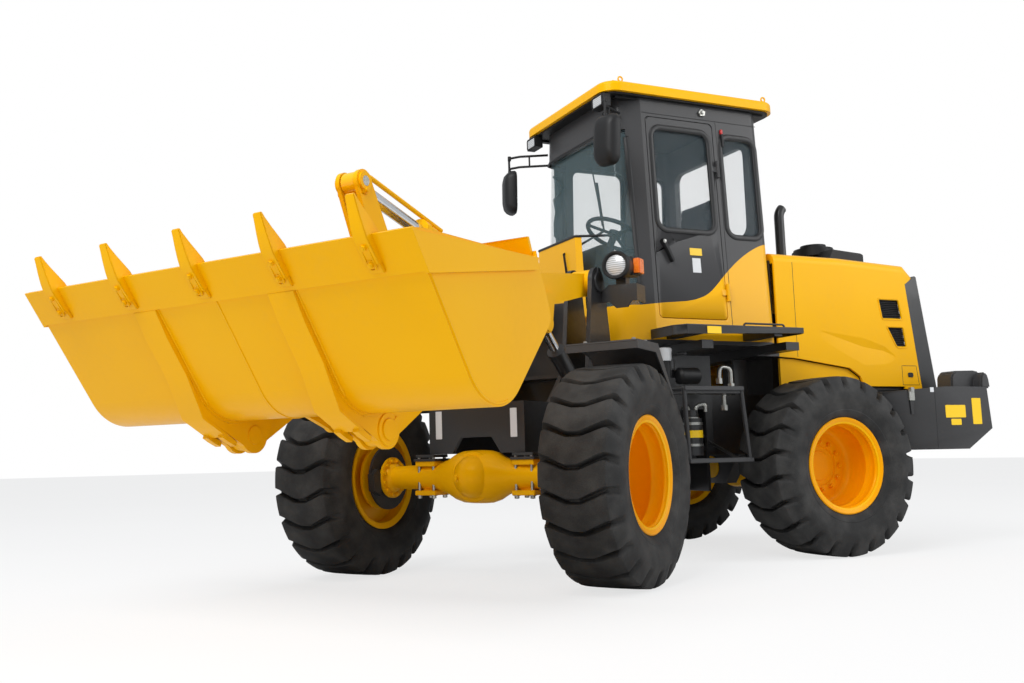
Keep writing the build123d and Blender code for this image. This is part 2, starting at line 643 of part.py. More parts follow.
def rod_solid(length, short, rod_r, pin_r, eye_r, eye_half, neck):
    """Rod along +X that ends in an eye at this length from the base eye."""
    start = length - (short - neck - 20)
    with BuildPart() as rod:
        with BuildSketch(across(start)):
            Circle(rod_r)
        extrude(amount=length - start)
        with BuildSketch(side(eye_half)):
            with Locations((length, 0)):
                Circle(eye_r)
        extrude(amount=2 * eye_half)
        with BuildSketch(side(eye_half)):
            with Locations((length, 0)):
                Circle(pin_r + PIN_FIT)
        extrude(amount=2 * eye_half, mode=Mode.SUBTRACT)
    return rod.part


def span(base, pin):
    """Length and slope of the line from base to pin."""
    return hypot(pin[0] - base[0], pin[1] - base[1]), degrees(atan2(pin[1] - base[1], pin[0] - base[0]))


BOOM_RANGE = (-14, 28, 70)
STEER_RANGE = (-70, -34, 2)

lift_len, lift_slope = span(LIFT_BASE, LIFT_PIN)
lift_short = shortest(LIFT_BASE, LIFT_PIN, BOOM_PIVOT, BOOM_RANGE)
LIFT_ROD_R = 27.0
lift_barrel = barrel_solid(lift_short, 46, LIFT_ROD_R, LIFT_PIN_R, 46, TOWER_OUT0 - ARM_Y - SIDE_GAP, 42)
lift_rod = rod_solid(lift_len, lift_short, LIFT_ROD_R, LIFT_PIN_R, 46,
                     LIFT_LUG_Y[1][0] - ARM_Y - SIDE_GAP, 42)
for name, hand in (("left", 1), ("right", -1)):
    place = FRONT * Location((LIFT_BASE[0], hand * ARM_Y, LIFT_BASE[1]), (0, -lift_slope, 0))
    save(lift_barrel, f"lift_barrel_{name}", place)
    save(lift_rod, f"lift_rod_{name}", place)

TILT_SHORT = 1244.0
TILT_ROD_R = 32.0
tilt_len, tilt_slope = span(TILT_BASE, ROCKER_TOP)
place = FRONT * Location((TILT_BASE[0], 0, TILT_BASE[1]), (0, -tilt_slope, 0))
save(barrel_solid(TILT_SHORT, 58, TILT_ROD_R, TILT_PIN_R, 50, EYE_HALF, 78), "tilt_barrel", place)
save(rod_solid(tilt_len, TILT_SHORT, TILT_ROD_R, 30, 50, EYE_HALF, 78), "tilt_rod", place)

STEER_ROD_R = 20.0
for name, hand in (("left", 1), ("right", -1)):
    base = (STEER_REAR_EYE[0], hand * STEER_REAR_EYE[1])
    pin = turned((STEER_FRONT_EYE[0], hand * STEER_FRONT_EYE[1]), STEER_REST)
    steer_len, steer_yaw = span(base, pin)
    steer_short = shortest(base, pin, (0, 0), STEER_RANGE)
    place = REAR * Location((*base, STEER_Z), (0, 0, steer_yaw)) * Location((0, 0, 0), (90, 0, 0))
    save(barrel_solid(steer_short, 38, STEER_ROD_R, STEER_PIN_R, STEER_EYE_R - 4, STEER_GAP - SIDE_GAP, 48),
         f"steer_barrel_{name}", place)
    save(rod_solid(steer_len, steer_short, STEER_ROD_R, STEER_PIN_R, STEER_EYE_R - 4,
                   STEER_GAP - SIDE_GAP, 48), f"steer_rod_{name}", place)

# ---- rear frame ---------------------------------------------------------------------------
LUG_PLATE = LUG_UP[1] - LUG_UP[0]
SPINE_Y = (130.0, 150.0)
SPINE_X = (-700.0, -110.0)
SPINE_Z = (LUG_LOW[0] - SIDE_GAP - LUG_PLATE, LUG_UP[1] + SIDE_GAP + LUG_PLATE)
BEAM_Y = (280.0, 300.0)
BEAM_X = (-2300.0, -720.0)
BEAM_Z = (620.0, 1000.0)
MOUNT_Z = (1230.0, CAB_Z0)
MOUNT_HALF = 540.0
ARM_OUT = 800.0
FRONT_MOUNT_X = (-460.0, -380.0)
REAR_MOUNT_X = (-1172.0, -1000.0)
BULKHEAD_X = (-1172.0, -1160.0)
BULKHEAD_TOP = 1858.0
HINGE_PIN_R = 8.0
HINGE_LUG_Y = (250.0, 262.0)
HOOD_KNUCKLE_R = 16.0
ENGINE_X = (-2150.0, -1350.0)
ENGINE_Z = (700.0, 1550.0)
BRACKET_REACH = 490.0       # inner face of the side panels

with BuildPart() as rear_frame:
    for z0, z1 in (LUG_UP, LUG_LOW):
        for bottom in (z0 - SIDE_GAP - LUG_PLATE, z1 + SIDE_GAP):
            with BuildSketch(level(bottom)):
                outline([(0, -95), (0, 95), (SPINE_X[1], SPINE_Y[1]), (SPINE_X[1] - 190, SPINE_Y[1]),
                         (SPINE_X[1] - 190, -SPINE_Y[1]), (SPINE_X[1], -SPINE_Y[1])])
                Circle(95)
            extrude(amount=LUG_PLATE)
        with BuildSketch(level(z0 - SIDE_GAP - LUG_PLATE - 10)):
            Circle(KING_R)
        extrude(amount=3 * LUG_PLATE + 2 * SIDE_GAP + 20)
    for hand in (1, -1):
        y0, y1 = sorted((hand * SPINE_Y[0], hand * SPINE_Y[1]))
        block(SPINE_X[0], SPINE_X[1], y0, y1, *SPINE_Z)
        block(*FRONT_MOUNT_X, y0, y1, SPINE_Z[1], MOUNT_Z[0])
        y0, y1 = sorted((hand * BEAM_Y[0], hand * BEAM_Y[1]))
        block(*BEAM_X, y0, y1, *BEAM_Z)
        block(REAR_MOUNT_X[0] + 72, REAR_MOUNT_X[1], y0, y1, BEAM_Z[1], MOUNT_Z[0])
        # bonnet hinge: a lug on the bulkhead and a pin outboard of it
        y0, y1 = sorted((hand * HINGE_LUG_Y[0], hand * HINGE_LUG_Y[1]))
        with BuildSketch(side(y1)):
            outline([(BULKHEAD_X[1], BULKHEAD_TOP - 60), (BULKHEAD_X[1], BULKHEAD_TOP),
                     (HOOD_HINGE[0], HOOD_HINGE[1] + 14), (HOOD_HINGE[0] - 14, HOOD_HINGE[1]),
                     (BULKHEAD_X[0] - 8, BULKHEAD_TOP - 60)])
        extrude(amount=y1 - y0)
        y0, y1 = sorted((hand * HINGE_LUG_Y[0], hand * (HINGE_LUG_Y[1] + 55)))
        with BuildSketch(side(y1)):
            with Locations(HOOD_HINGE):
                Circle(HINGE_PIN_R)
        extrude(amount=y1 - y0)
        # platform arms
        for x0, x1 in (FRONT_MOUNT_X, (REAR_MOUNT_X[0] + 72, REAR_MOUNT_X[1])):
            y0, y1 = sorted((hand * MOUNT_HALF, hand * ARM_OUT))
            block(x0, x1, y0, y1, CAB_Z0 - 50, CAB_Z0)
        y0, y1 = sorted((hand * BEAM_Y[1], hand * BRACKET_REACH))
        for x0 in (-1560, -1840):
            block(x0, x0 + 60, y0, y1, 920, 980)
        # steering cylinder lugs and pin
        eye = (STEER_REAR_EYE[0], hand * STEER_REAR_EYE[1])
        for z0 in (STEER_Z - STEER_GAP - STEER_LUG_T, STEER_Z + STEER_GAP):
            with BuildSketch(level(z0)):
                with Locations(eye):
                    Circle(STEER_EYE_R)
                with Locations(((eye[0] + SPINE_X[0]) / 2, eye[1])):
                    Rectangle(eye[0] - SPINE_X[0], 2 * STEER_EYE_R)
            extrude(amount=STEER_LUG_T)
        with BuildSketch(level(STEER_Z - STEER_GAP - STEER_LUG_T - PIN_HEAD)):
            with Locations(eye):
                Circle(STEER_PIN_R)
        extrude(amount=2 * (STEER_GAP + STEER_LUG_T + PIN_HEAD))
    block(BEAM_X[1], SPINE_X[0], -STEER_REAR_EYE[1] - STEER_EYE_R, STEER_REAR_EYE[1] + STEER_EYE_R,
          SPINE_Z[0], BEAM_Z[1])
    for x0, x1 in (FRONT_MOUNT_X, REAR_MOUNT_X):
        block(x0, x1, -MOUNT_HALF, MOUNT_HALF, *MOUNT_Z)
    block(*BULKHEAD_X, -BRACKET_REACH - 10, BRACKET_REACH + 10, MOUNT_Z[0], BULKHEAD_TOP)
    # engine beams and rear plate
    for x0, x1 in ((-1620, -1540), (ENGINE_X[0], ENGINE_X[0] + 80)):
        block(x0, x1, -BEAM_Y[0], BEAM_Y[0], 640, ENGINE_Z[0])
    block(BEAM_X[0], BEAM_X[0] + 25, -BEAM_Y[0], BEAM_Y[0], *BEAM_Z)
    # trunnion plates of the rear axle
    for x0 in (AXLE_REAR_X + TRUNNION_X[0] + 5, AXLE_REAR_X - TRUNNION_X[1] + 5):
        with BuildSketch(across(x0)):
            outline([(-BEAM_Y[0], BEAM_Z[0]), (-130, 430), (130, 430), (BEAM_Y[0], BEAM_Z[0]),
                     (BEAM_Y[0], ENGINE_Z[0]), (-BEAM_Y[0], ENGINE_Z[0])])
            with Locations((0, AXLE_Z)):
                Circle(TRUNNION_R + PIN_FIT, mode=Mode.SUBTRACT)
        extrude(amount=TRUNNION_X[1] - TRUNNION_X[0] - 10)
save(rear_frame.part, "rear_frame", REAR)

with BuildPart() as engine:
    block(*ENGINE_X, -260, 260, *ENGINE_Z)
save(engine.part, "engine", REAR)

# ---- counterweight ------------------------------------------------------------------------
ARCH_R = 600.0
CW_FRONT_X = BEAM_X[0]
CW_INNER_Y = 560.0
HITCH_X = -2590.0
HITCH_R = 22.0
HITCH_Z = (760.0, 860.0, 960.0, 1060.0)     # lower lip, slot and upper lip
CW_TOP = ((-2215.0, 1020.0), (-2260.0, 1085.0), (-2600.0, 1112.0))


def cw_top(x):
    """Height of the counterweight's top at x, on its rear half."""
    (x0, z0), (x1, z1) = CW_TOP[1:]
    return z0 + (x - x0) * (z1 - z0) / (x1 - x0)


with BuildPart() as counterweight:
    with BuildSketch(side(CW_HALF)):
        outline([(-1866, 620), (-2390, 618), (-2670, 782), (-2645, 1075), CW_TOP[2], CW_TOP[1], CW_TOP[0],
                 (-1600, 975)])
        with Locations((AXLE_REAR_X, AXLE_Z)):
            Circle(ARCH_R, mode=Mode.SUBTRACT)
    extrude(amount=2 * CW_HALF)
    block(CW_FRONT_X, -1500, -CW_INNER_Y, CW_INNER_Y, 500, 1200, mode=Mode.SUBTRACT)
    # tow hitch: a slot with a vertical bore through both its lips
    block(-2700, -2540, -60, 60, 500, HITCH_Z[0], mode=Mode.SUBTRACT)
    block(-2700, -2540, -90, 90, HITCH_Z[1], HITCH_Z[2], mode=Mode.SUBTRACT)
    with BuildSketch(level(HITCH_Z[0])):
        with Locations((HITCH_X, 0)):
            Circle(HITCH_R)
    extrude(amount=HITCH_Z[3] - HITCH_Z[0], mode=Mode.SUBTRACT)
    corners = counterweight.edges().filter_by(Axis.Z, tolerance=12).filter_by(
        lambda e: e.center().X < -2640 and abs(e.center().Y) > CW_HALF - 5)
    chamfer(corners, 60)
save(counterweight.part, "counterweight", REAR)

# ---- cab ----------------------------------------------------------------------------------
REAR_CORNER_R = 70.0
NOSE_R = 150.0
lean = atan2(CAB_HALF0 - CAB_HALF1, CAB_Z1 - CAB_Z0)
WALL_FACE = Plane(origin=(0, -CAB_HALF0, CAB_Z0), x_dir=(1, 0, 0), z_dir=(0, -cos(lean), sin(lean)))


def cab_block(inset, z0, z1):
    """The cab's outer form, moved in by inset, between two heights."""
    with BuildPart() as form:
        for z in (z0, z1):
            t = (z - CAB_Z0) / (CAB_Z1 - CAB_Z0)
            half = CAB_HALF0 + t * (CAB_HALF1 - CAB_HALF0)
            nose_x = CAB_NOSE_X0 + t * (CAB_NOSE_X1 - CAB_NOSE_X0)
            nose_half = CAB_NOSE_HALF0 + t * (CAB_NOSE_HALF1 - CAB_NOSE_HALF0)
            with BuildSketch(level(z)) as ring:
                Polygon((CAB_REAR_X, -half), (CAB_CORNER_X, -half), (nose_x, -nose_half), (nose_x, nose_half),
                        (CAB_CORNER_X, half), (CAB_REAR_X, half), align=None)
                fillet(ring.vertices().group_by(Axis.X)[0], REAR_CORNER_R)
                fillet(ring.vertices().group_by(Axis.X)[-1], NOSE_R)
                if inset:
                    offset(amount=-inset)
        loft(ruled=True)
    return form.part


def window(x0, x1, z0, z1, grow, radius):
    """Rounded window on the side wall's plane, in the sketch that calls it."""
    up = 1 / cos(lean)
    with Locations(((x0 + x1) / 2, ((z0 + z1) / 2 - CAB_Z0) * up)):
        RectangleRounded(x1 - x0 + 2 * grow, (z1 - z0) * up + 2 * grow, radius + grow)


WINDOW_R = 70.0
WINDSHIELD = [(-520, 1530), (520, 1530), (455, 2640), (-455, 2640)]
WINDSHIELD_X = -222.0
REAR_GLASS = (-380.0, 380.0, 2050.0, 2650.0)
FLOOR_T = 45.0
HUMP_X = (-150.0, 115.0)
HUMP_LOW = (1480.0, 500.0, 250.0)       # height, half width at the back and at the front
HUMP_TOP = (1990.0, 360.0, 238.0)
DOOR_T = 30.0
DOOR_HINGE_X = DOOR_X[0] - 10
DOOR_HINGE_OUT = 12.0           # from the wall's face to the hinge pin
DOOR_HINGE_Z = (1620.0, 2420.0)
DOOR_PIN_R = 5.0
KNUCKLE_R = 11.0
KNUCKLE_LEN = 36.0
UP = 1 / cos(lean)              # length up the wall for each unit of height
LEFT_FACE = Plane(origin=(0, CAB_HALF0, CAB_Z0), x_dir=(-1, 0, 0), z_dir=(0, cos(lean), sin(lean)))


def flipped(x0, x1, z0, z1):
    """The same window seen from the left, where the plane's x runs backwards."""
    return -x1, -x0, z0, z1


def hinge_plane(z):
    """Plane on the door's hinge pin at this height: local x forward, local y out, z up the wall."""
    t = (z - CAB_Z0) * tan(lean)
    out = Vector(0, cos(lean), sin(lean)) * DOOR_HINGE_OUT
    origin = Vector(DOOR_HINGE_X, CAB_HALF0 - t, z) + out
    return Plane(origin=origin, x_dir=(1, 0, 0), z_dir=(0, -sin(lean), cos(lean)))


with BuildPart() as hump:
    for z, back, front in (HUMP_LOW, HUMP_TOP):
        with BuildSketch(level(z)):
            outline([(HUMP_X[0], -back), (HUMP_X[1], -front), (HUMP_X[1], front), (HUMP_X[0], back)])
    loft(ruled=True)
    add(cab_block(0, CAB_Z0, CAB_Z1), mode=Mode.SUBTRACT)

with BuildPart() as cab_shell:
    add(cab_block(0, CAB_Z0, CAB_Z1))
    add(hump.part)
    add(cab_block(CAB_WALL, CAB_Z0 + FLOOR_T, CAB_Z1), mode=Mode.SUBTRACT)
    with BuildSketch(WALL_FACE.offset(20)):
        window(*REAR_WINDOW, 0, WINDOW_R)
        window(*DOOR_WINDOW, 0, WINDOW_R)
    extrude(amount=-100, mode=Mode.SUBTRACT)
    with BuildSketch(LEFT_FACE.offset(20)):
        window(*flipped(*REAR_WINDOW), 0, WINDOW_R)
        window(*flipped(*DOOR_X, *DOOR_Z), 0, 30)
    extrude(amount=-100, mode=Mode.SUBTRACT)
    with BuildSketch(across(WINDSHIELD_X)):
        outline(WINDSHIELD)
    extrude(amount=300, mode=Mode.SUBTRACT)
    with BuildSketch(across(CAB_REAR_X - 20)):
        with Locations((0, (REAR_GLASS[2] + REAR_GLASS[3]) / 2)):
            RectangleRounded(REAR_GLASS[1] - REAR_GLASS[0], REAR_GLASS[3] - REAR_GLASS[2], WINDOW_R)
    extrude(amount=100, mode=Mode.SUBTRACT)
    # door hinges: two fixed knuckles and the pin between them
    for z in DOOR_HINGE_Z:
        with Locations(hinge_plane(z)):
            with Locations((0, 0, KNUCKLE_LEN + 1), (0, 0, -KNUCKLE_LEN - 1)):
                Cylinder(KNUCKLE_R, KNUCKLE_LEN)
            with Locations((0, -7, KNUCKLE_LEN + 1), (0, -7, -KNUCKLE_LEN - 1)):
                Box(12, 14, KNUCKLE_LEN)
            Cylinder(DOOR_PIN_R, 2 * KNUCKLE_LEN + 10)
save(cab_shell.part, "cab_shell", REAR)

with BuildPart() as door_left:
    with BuildSketch(LEFT_FACE):
        window(*flipped(*DOOR_X, *DOOR_Z), -PANEL_GAP, 30)
    extrude(amount=-DOOR_T)
    with BuildSketch(LEFT_FACE.offset(1)):
        window(*flipped(*DOOR_WINDOW), 0, WINDOW_R)
    extrude(amount=-DOOR_T - 2, mode=Mode.SUBTRACT)
    for z in DOOR_HINGE_Z:
        with Locations(hinge_plane(z)):
            Cylinder(KNUCKLE_R, KNUCKLE_LEN)
            with Locations((22, -8, 0)):
                Box(44, 8, KNUCKLE_LEN)
            with Locations((6, -5, 0)):
                Box(10, 10, KNUCKLE_LEN)
            Cylinder(DOOR_PIN_R + PIN_FIT, KNUCKLE_LEN + 4, mode=Mode.SUBTRACT)
    # handle
    with BuildSketch(LEFT_FACE):
        with Locations(Location((345, (1880 - CAB_Z0) * UP, 0), (0, 0, 35))):
            SlotOverall(190, 34)
    extrude(amount=26)
save(door_left.part, "door_left", REAR)


def pane(face, limits, gap):
    """Flat window pane in a side wall, this far inside the opening's edge."""
    with BuildPart() as glass:
        with BuildSketch(face.offset(-GLASS_IN)):
            window(*limits, -gap, WINDOW_R)
        extrude(amount=-GLASS_T)
    return glass.part


save(pane(LEFT_FACE, flipped(*DOOR_WINDOW), SEAT_GAP), "door_glass", REAR)

with BuildPart() as cab_glass:
    add(pane(WALL_FACE, DOOR_WINDOW, SEAT_GAP))
    add(pane(WALL_FACE, REAR_WINDOW, SEAT_GAP))
    add(pane(LEFT_FACE, flipped(*REAR_WINDOW), SEAT_GAP))
    with BuildSketch(across(CAB_REAR_X + GLASS_IN)):
        with Locations((0, (REAR_GLASS[2] + REAR_GLASS[3]) / 2)):
            RectangleRounded(REAR_GLASS[1] - REAR_GLASS[0] - 2 * SEAT_GAP,
                             REAR_GLASS[3] - REAR_GLASS[2] - 2 * SEAT_GAP, WINDOW_R - SEAT_GAP)
    extrude(amount=GLASS_T)
save(cab_glass.part, "cab_glass", REAR)

with BuildPart() as windshield:
    add(cab_block(GLASS_IN, CAB_Z0, CAB_Z1))
    add(cab_block(GLASS_IN + GLASS_T, CAB_Z0, CAB_Z1), mode=Mode.SUBTRACT)
    with BuildSketch(across(WINDSHIELD_X + SEAT_GAP)):
        outline(WINDSHIELD)
        offset(amount=-SEAT_GAP)
    extrude(amount=300, mode=Mode.INTERSECT)
save(windshield.part, "windshield", REAR)

# roof
with BuildPart() as cab_roof:
    with BuildSketch(level(CAB_Z1)):
        with Locations((sum(ROOF_X) / 2, 0)):
            Rectangle(ROOF_X[1] - ROOF_X[0], 2 * ROOF_HALF)
    extrude(amount=ROOF_T)
    fillet(cab_roof.edges().filter_by(Axis.Z), 110)
    fillet(cab_roof.faces().sort_by(Axis.Z)[-1].edges(), 24)
    # lifting eyes
    for x in (-1190, -90):
        for y in (-430, 430):
            with BuildSketch(side(y + 6)):
                with Locations((x, CAB_Z1 + ROOF_T + 20)):
                    Circle(20)
                with Locations((x, CAB_Z1 + ROOF_T + 5)):
                    Rectangle(30, 16)
                with Locations((x, CAB_Z1 + ROOF_T + 20)):
                    Circle(10, mode=Mode.SUBTRACT)
            extrude(amount=12)
save(cab_roof.part, "cab_roof", REAR)

# ---- inside the cab -----------------------------------------------------------------------
FLOOR_Z = CAB_Z0 + FLOOR_T
SEAT_X = -840.0
with BuildPart() as seat:
    with BuildSketch(side(130)):
        outline([(SEAT_X - 190, FLOOR_Z), (SEAT_X + 190, FLOOR_Z), (SEAT_X + 150, FLOOR_Z + 340),
                 (SEAT_X - 150, FLOOR_Z + 340)])
    extrude(amount=260)
    block(SEAT_X - 220, SEAT_X + 240, -240, 240, FLOOR_Z + 340, FLOOR_Z + 450)
    fillet(seat.edges().filter_by(Axis.Z).group_by(SortBy.LENGTH)[0], 40)
    with BuildSketch(side(220)):
        outline([(SEAT_X - 200, FLOOR_Z + 450), (SEAT_X - 70, FLOOR_Z + 450), (SEAT_X - 130, FLOOR_Z + 1060),
                 (SEAT_X - 220, FLOOR_Z + 1060)])
    extrude(amount=440)
    for y in (-290, 235):
        block(SEAT_X - 150, SEAT_X + 200, y, y + 55, FLOOR_Z + 560, FLOOR_Z + 610)
        block(SEAT_X - 150, SEAT_X - 100, y if y < 0 else y - 20, y + 75 if y < 0 else y + 55,
              FLOOR_Z + 480, FLOOR_Z + 610)
save(seat.part, "seat", REAR)

WHEEL_CENTRE = (-330.0, 0.0, 2080.0)
WHEEL_RING_R = 190.0
WHEEL_TILT = 28.0
with BuildPart() as steering_column:
    with BuildSketch(side(150)):
        outline([(-60, FLOOR_Z), (-300, FLOOR_Z), (-230, 1950), (-90, 1980)])
    extrude(amount=300)
    fillet(steering_column.edges().filter_by(Axis.Y).sort_by(Axis.Z)[-2:], 45)
    wheel_plane = Plane(origin=WHEEL_CENTRE, x_dir=(cos(radians(WHEEL_TILT)), 0, sin(radians(WHEEL_TILT))),
                        z_dir=(-sin(radians(WHEEL_TILT)), 0, cos(radians(WHEEL_TILT))))
    with Locations(wheel_plane):
        Torus(WHEEL_RING_R, 14)
        for turn in (90, 210, 330):
            with Locations(Location((0, 0, 0), (0, 0, turn))):
                with Locations((WHEEL_RING_R / 2, 0, 0)):
                    Box(WHEEL_RING_R, 26, 10)
        Cylinder(45, 30)
        with Locations((0, 0, -90)):
            Cylinder(24, 180)
save(steering_column.part, "steering_column", REAR)

# ---- mirrors and work lamps ---------------------------------------------------------------
MIRROR = (110.0, 640.0, 2490.0)
MIRROR_SIZE = (150.0, 300.0, 60.0)


def bar(start, end, radius):
    """Round bar between two points, in the part that calls it."""
    length = (Vector(*end) - Vector(*start)).length
    with Locations(along(start, end)):
        Cylinder(radius, length, align=(Align.CENTER, Align.CENTER, Align.MIN))


def tube(points, radius):
    """Round tube through these points, with a ball at each bend."""
    for start, end in zip(points, points[1:]):
        bar(start, end, radius)
    for point in points[1:-1]:
        with Locations(point):
            Sphere(radius)


def pillar_y(z, depth):
    """y inside the cab's side wall at this height, this deep under its face."""
    return CAB_HALF0 - (z - CAB_Z0) * tan(lean) - depth


with BuildPart() as mirrors:
    with BuildSketch(across(MIRROR[0] - MIRROR_SIZE[2] / 2)):
        with Locations(MIRROR[1:]):
            RectangleRounded(MIRROR_SIZE[0], MIRROR_SIZE[1], 48)
    extrude(amount=MIRROR_SIZE[2])
    fillet(mirrors.faces().sort_by(Axis.X)[-1].edges(), 22)
    top = MIRROR[2] + MIRROR_SIZE[1] / 2
    for z in (top + 20, top + 95):
        tube([(CAB_CORNER_X - 25, pillar_y(z, 2), z), (MIRROR[0], MIRROR[1], z)], 8)
    tube([(MIRROR[0], MIRROR[1], top + 95), (MIRROR[0], MIRROR[1], top - 10)], 8)
    with Locations((MIRROR[0], MIRROR[1], top + 95)):
        Sphere(8)
    mirror(about=Plane.XZ)
    add(cab_block(0, CAB_Z0, CAB_Z1), mode=Mode.SUBTRACT)
save(mirrors.part, "mirrors", REAR)

LAMP_BOX = (-20.0, 36.0, 2760.0)    # x from, x to, bottom
with BuildPart() as work_lamps:
    for hand in (1, -1):
        block(LAMP_BOX[0], LAMP_BOX[1], hand * 440 - 62, hand * 440 + 62, LAMP_BOX[2], CAB_Z1 - 14)
        block(LAMP_BOX[0] + 15, LAMP_BOX[1] - 15, hand * 440 - 20, hand * 440 + 20, CAB_Z1 - 14, CAB_Z1)
    add(cab_block(-SEAT_GAP, CAB_Z0, CAB_Z1), mode=Mode.SUBTRACT)
save(work_lamps.part, "work_lamps", REAR)

# ---- platforms, ladders and what hangs under the cab --------------------------------------
PLATFORM_X = (-1130.0, -182.0)
PLATFORM_Y = (576.0, 870.0)
PLATFORM_Z = (CAB_Z0, 1370.0)
SKIRT_T = 8.0
platform_plan = [
    (PLATFORM_X[0], PLATFORM_Y[0]), (PLATFORM_X[1], PLATFORM_Y[0]),
    (PLATFORM_X[1], PLATFORM_Y[1] - 90), (PLATFORM_X[1] - 45, PLATFORM_Y[1]),
    (PLATFORM_X[0] + 45, PLATFORM_Y[1]), (PLATFORM_X[0], PLATFORM_Y[1] - 90)]
with BuildPart() as platforms:
    with BuildSketch(level(PLATFORM_Z[0])):
        outline(platform_plan)
    extrude(amount=PLATFORM_Z[1] - PLATFORM_Z[0])
    with BuildSketch(level(PLATFORM_Z[0])):
        outline(platform_plan)
        offset(amount=-SKIRT_T)
    extrude(amount=PLATFORM_Z[1] - PLATFORM_Z[0] - SKIRT_T, mode=Mode.SUBTRACT)
    for x0, x1 in (FRONT_MOUNT_X, (REAR_MOUNT_X[0] + 72, REAR_MOUNT_X[1])):
        block(x0 + 20, x1 - 20, PLATFORM_Y[0] + 4, PLATFORM_Y[1] - 4, PLATFORM_Z[0], PLATFORM_Z[1] - 4)
    mirror(about=Plane.XZ)
save(platforms.part, "platforms", REAR)

HANGER_Y = (455.0, 475.0)
HANGER_X = (-680.0, -160.0)
HANGER_Z = (640.0, MOUNT_Z[0])
STEP_Y = 850.0
STEP_R = 14.0
with BuildPart() as ladders:
    block(*HANGER_X, *HANGER_Y, HANGER_Z[1] - 330, HANGER_Z[1])
    for x in (HANGER_X[1] - 30, HANGER_X[0] + 30):
        block(x - 25, x + 25, *HANGER_Y, HANGER_Z[0], HANGER_Z[1])
    tube([(-200, HANGER_Y[1] - 5, 1015), (-200, STEP_Y, 1000), (-215, STEP_Y, 590)], STEP_R)
    tube([(-600, HANGER_Y[1] - 5, 1015), (-600, STEP_Y, 1000), (-640, STEP_Y, 590)], STEP_R)
    block(-602, -200, STEP_Y - 130, STEP_Y + 6, 972, 988)
    block(-640, -215, STEP_Y - 110, STEP_Y + 6, 586, 602)
    for x0, x1 in ((-225, -205), (-650, -630)):
        bar((x0 + 10, STEP_Y - 104, 594), (x0 + 10, HANGER_Y[1] - 5, 700), 9)
    mirror(about=Plane.XZ)
save(ladders.part, "ladders", REAR)

CANISTER = (-470.0, 540.0)
CANISTER_R = 62.0
with BuildPart() as side_gear:
    block(CANISTER[0] - 70, CANISTER[0] + 70, HANGER_Y[0], HANGER_Y[1], 600, HANGER_Z[1] - 330)
    with Locations((CANISTER[0], CANISTER[1], 729)):
        Cylinder(CANISTER_R, 222)
    with Locations((CANISTER[0], CANISTER[1], 860)):
        Cylinder(38, 60)
    for z in (680, 780):
        with Locations((CANISTER[0], CANISTER[1], z)):
            Cylinder(CANISTER_R + 3, 24)
        block(CANISTER[0] - 20, CANISTER[0] + 20, HANGER_Y[1], CANISTER[1] - CANISTER_R + 4, z - 12, z + 12)
    with Locations((-300, 560, 1130)):
        Cylinder(44, 110)
    with Locations((-300, 560, 1195)):
        Cylinder(26, 30)
    block(-320, -280, HANGER_Y[1], 530, 1090, 1110)
save(side_gear.part, "side_gear", REAR)

# ---- bonnet -------------------------------------------------------------------------------
PANEL_LOW = 900.0
SEAM = [(-1180, 1230), (-1314, 1223), (-1762, 1165), (-1850, 1110), (-1880, 1045)]
PANEL_T = 18.0
with BuildPart() as side_panels:
    with BuildSketch(side(BRACKET_REACH + PANEL_T)):
        outline([(-1200, PANEL_LOW), (-1200, 1222)] + [(x, z - PANEL_GAP) for x, z in SEAM[1:]]
                + [(-1885, PANEL_LOW)])
    extrude(amount=PANEL_T)
    mirror(about=Plane.XZ)
save(side_panels.part, "side_panels", REAR)

HOOD_FLOOR = 8.0        # above the counterweight
HOOD_BACK_X = -2292.0
hood_top = [(HOOD_FRONT_X, HOOD_TOP_Z), (-1750, HOOD_TOP_Z), (-2323, 1885), (-2400, 1810)]
strip_top = (-2305.0, 1748.0)
strip_low = (-2384.0, cw_top(-2384.0) + HOOD_FLOOR)
slope_top = (-2413.0, 1803.0)
slope_low = (-2516.0, cw_top(-2516.0) + HOOD_FLOOR)
hood_line = hood_top + [strip_top, strip_low, (HOOD_BACK_X, cw_top(HOOD_BACK_X) + HOOD_FLOOR),
                        (HOOD_BACK_X, SEAM[-1][1])] + SEAM[::-1]
vents = [[(-2050, 1640), (-2235, 1640), (-2262, 1500), (-2075, 1500)],
         [(-2110, 1452), (-2262, 1452), (-2283, 1310), (-2190, 1310)]]


def hood_form(inset, half):
    """The bonnet's outer form moved in by inset, its top edges rounded."""
    with BuildPart() as form:
        with BuildSketch(side(half - inset)):
            Polygon(*hood_line, align=None)
            if inset:
                offset(amount=-inset, kind=Kind.INTERSECTION)
        extrude(amount=2 * (half - inset))
        edges = form.edges().filter_by(
            lambda e: e.center().Z > 1840 - inset and abs(e.center().Y) > half - inset - 1)
        fillet(edges, 60 - inset)
    return form.part


# the pressed crease's sections: x, height of its edge, of its bottom and of its end, and its depth
crease_table = [(-1534, 1412, 1404, 1320, 1.0), (-1900, 1372, 1308, 1170, 9.0),
                (-2075, 1322, 1285, 1180, 7.0), (-2165, 1262, 1250, 1200, 1.0)]
with BuildPart() as crease:
    for x, edge, low, end, depth in crease_table:
        with BuildSketch(across(x)):
            outline([(HOOD_HALF + 1, edge), (HOOD_HALF - depth, low), (HOOD_HALF + 1, end)])
    loft(ruled=True)

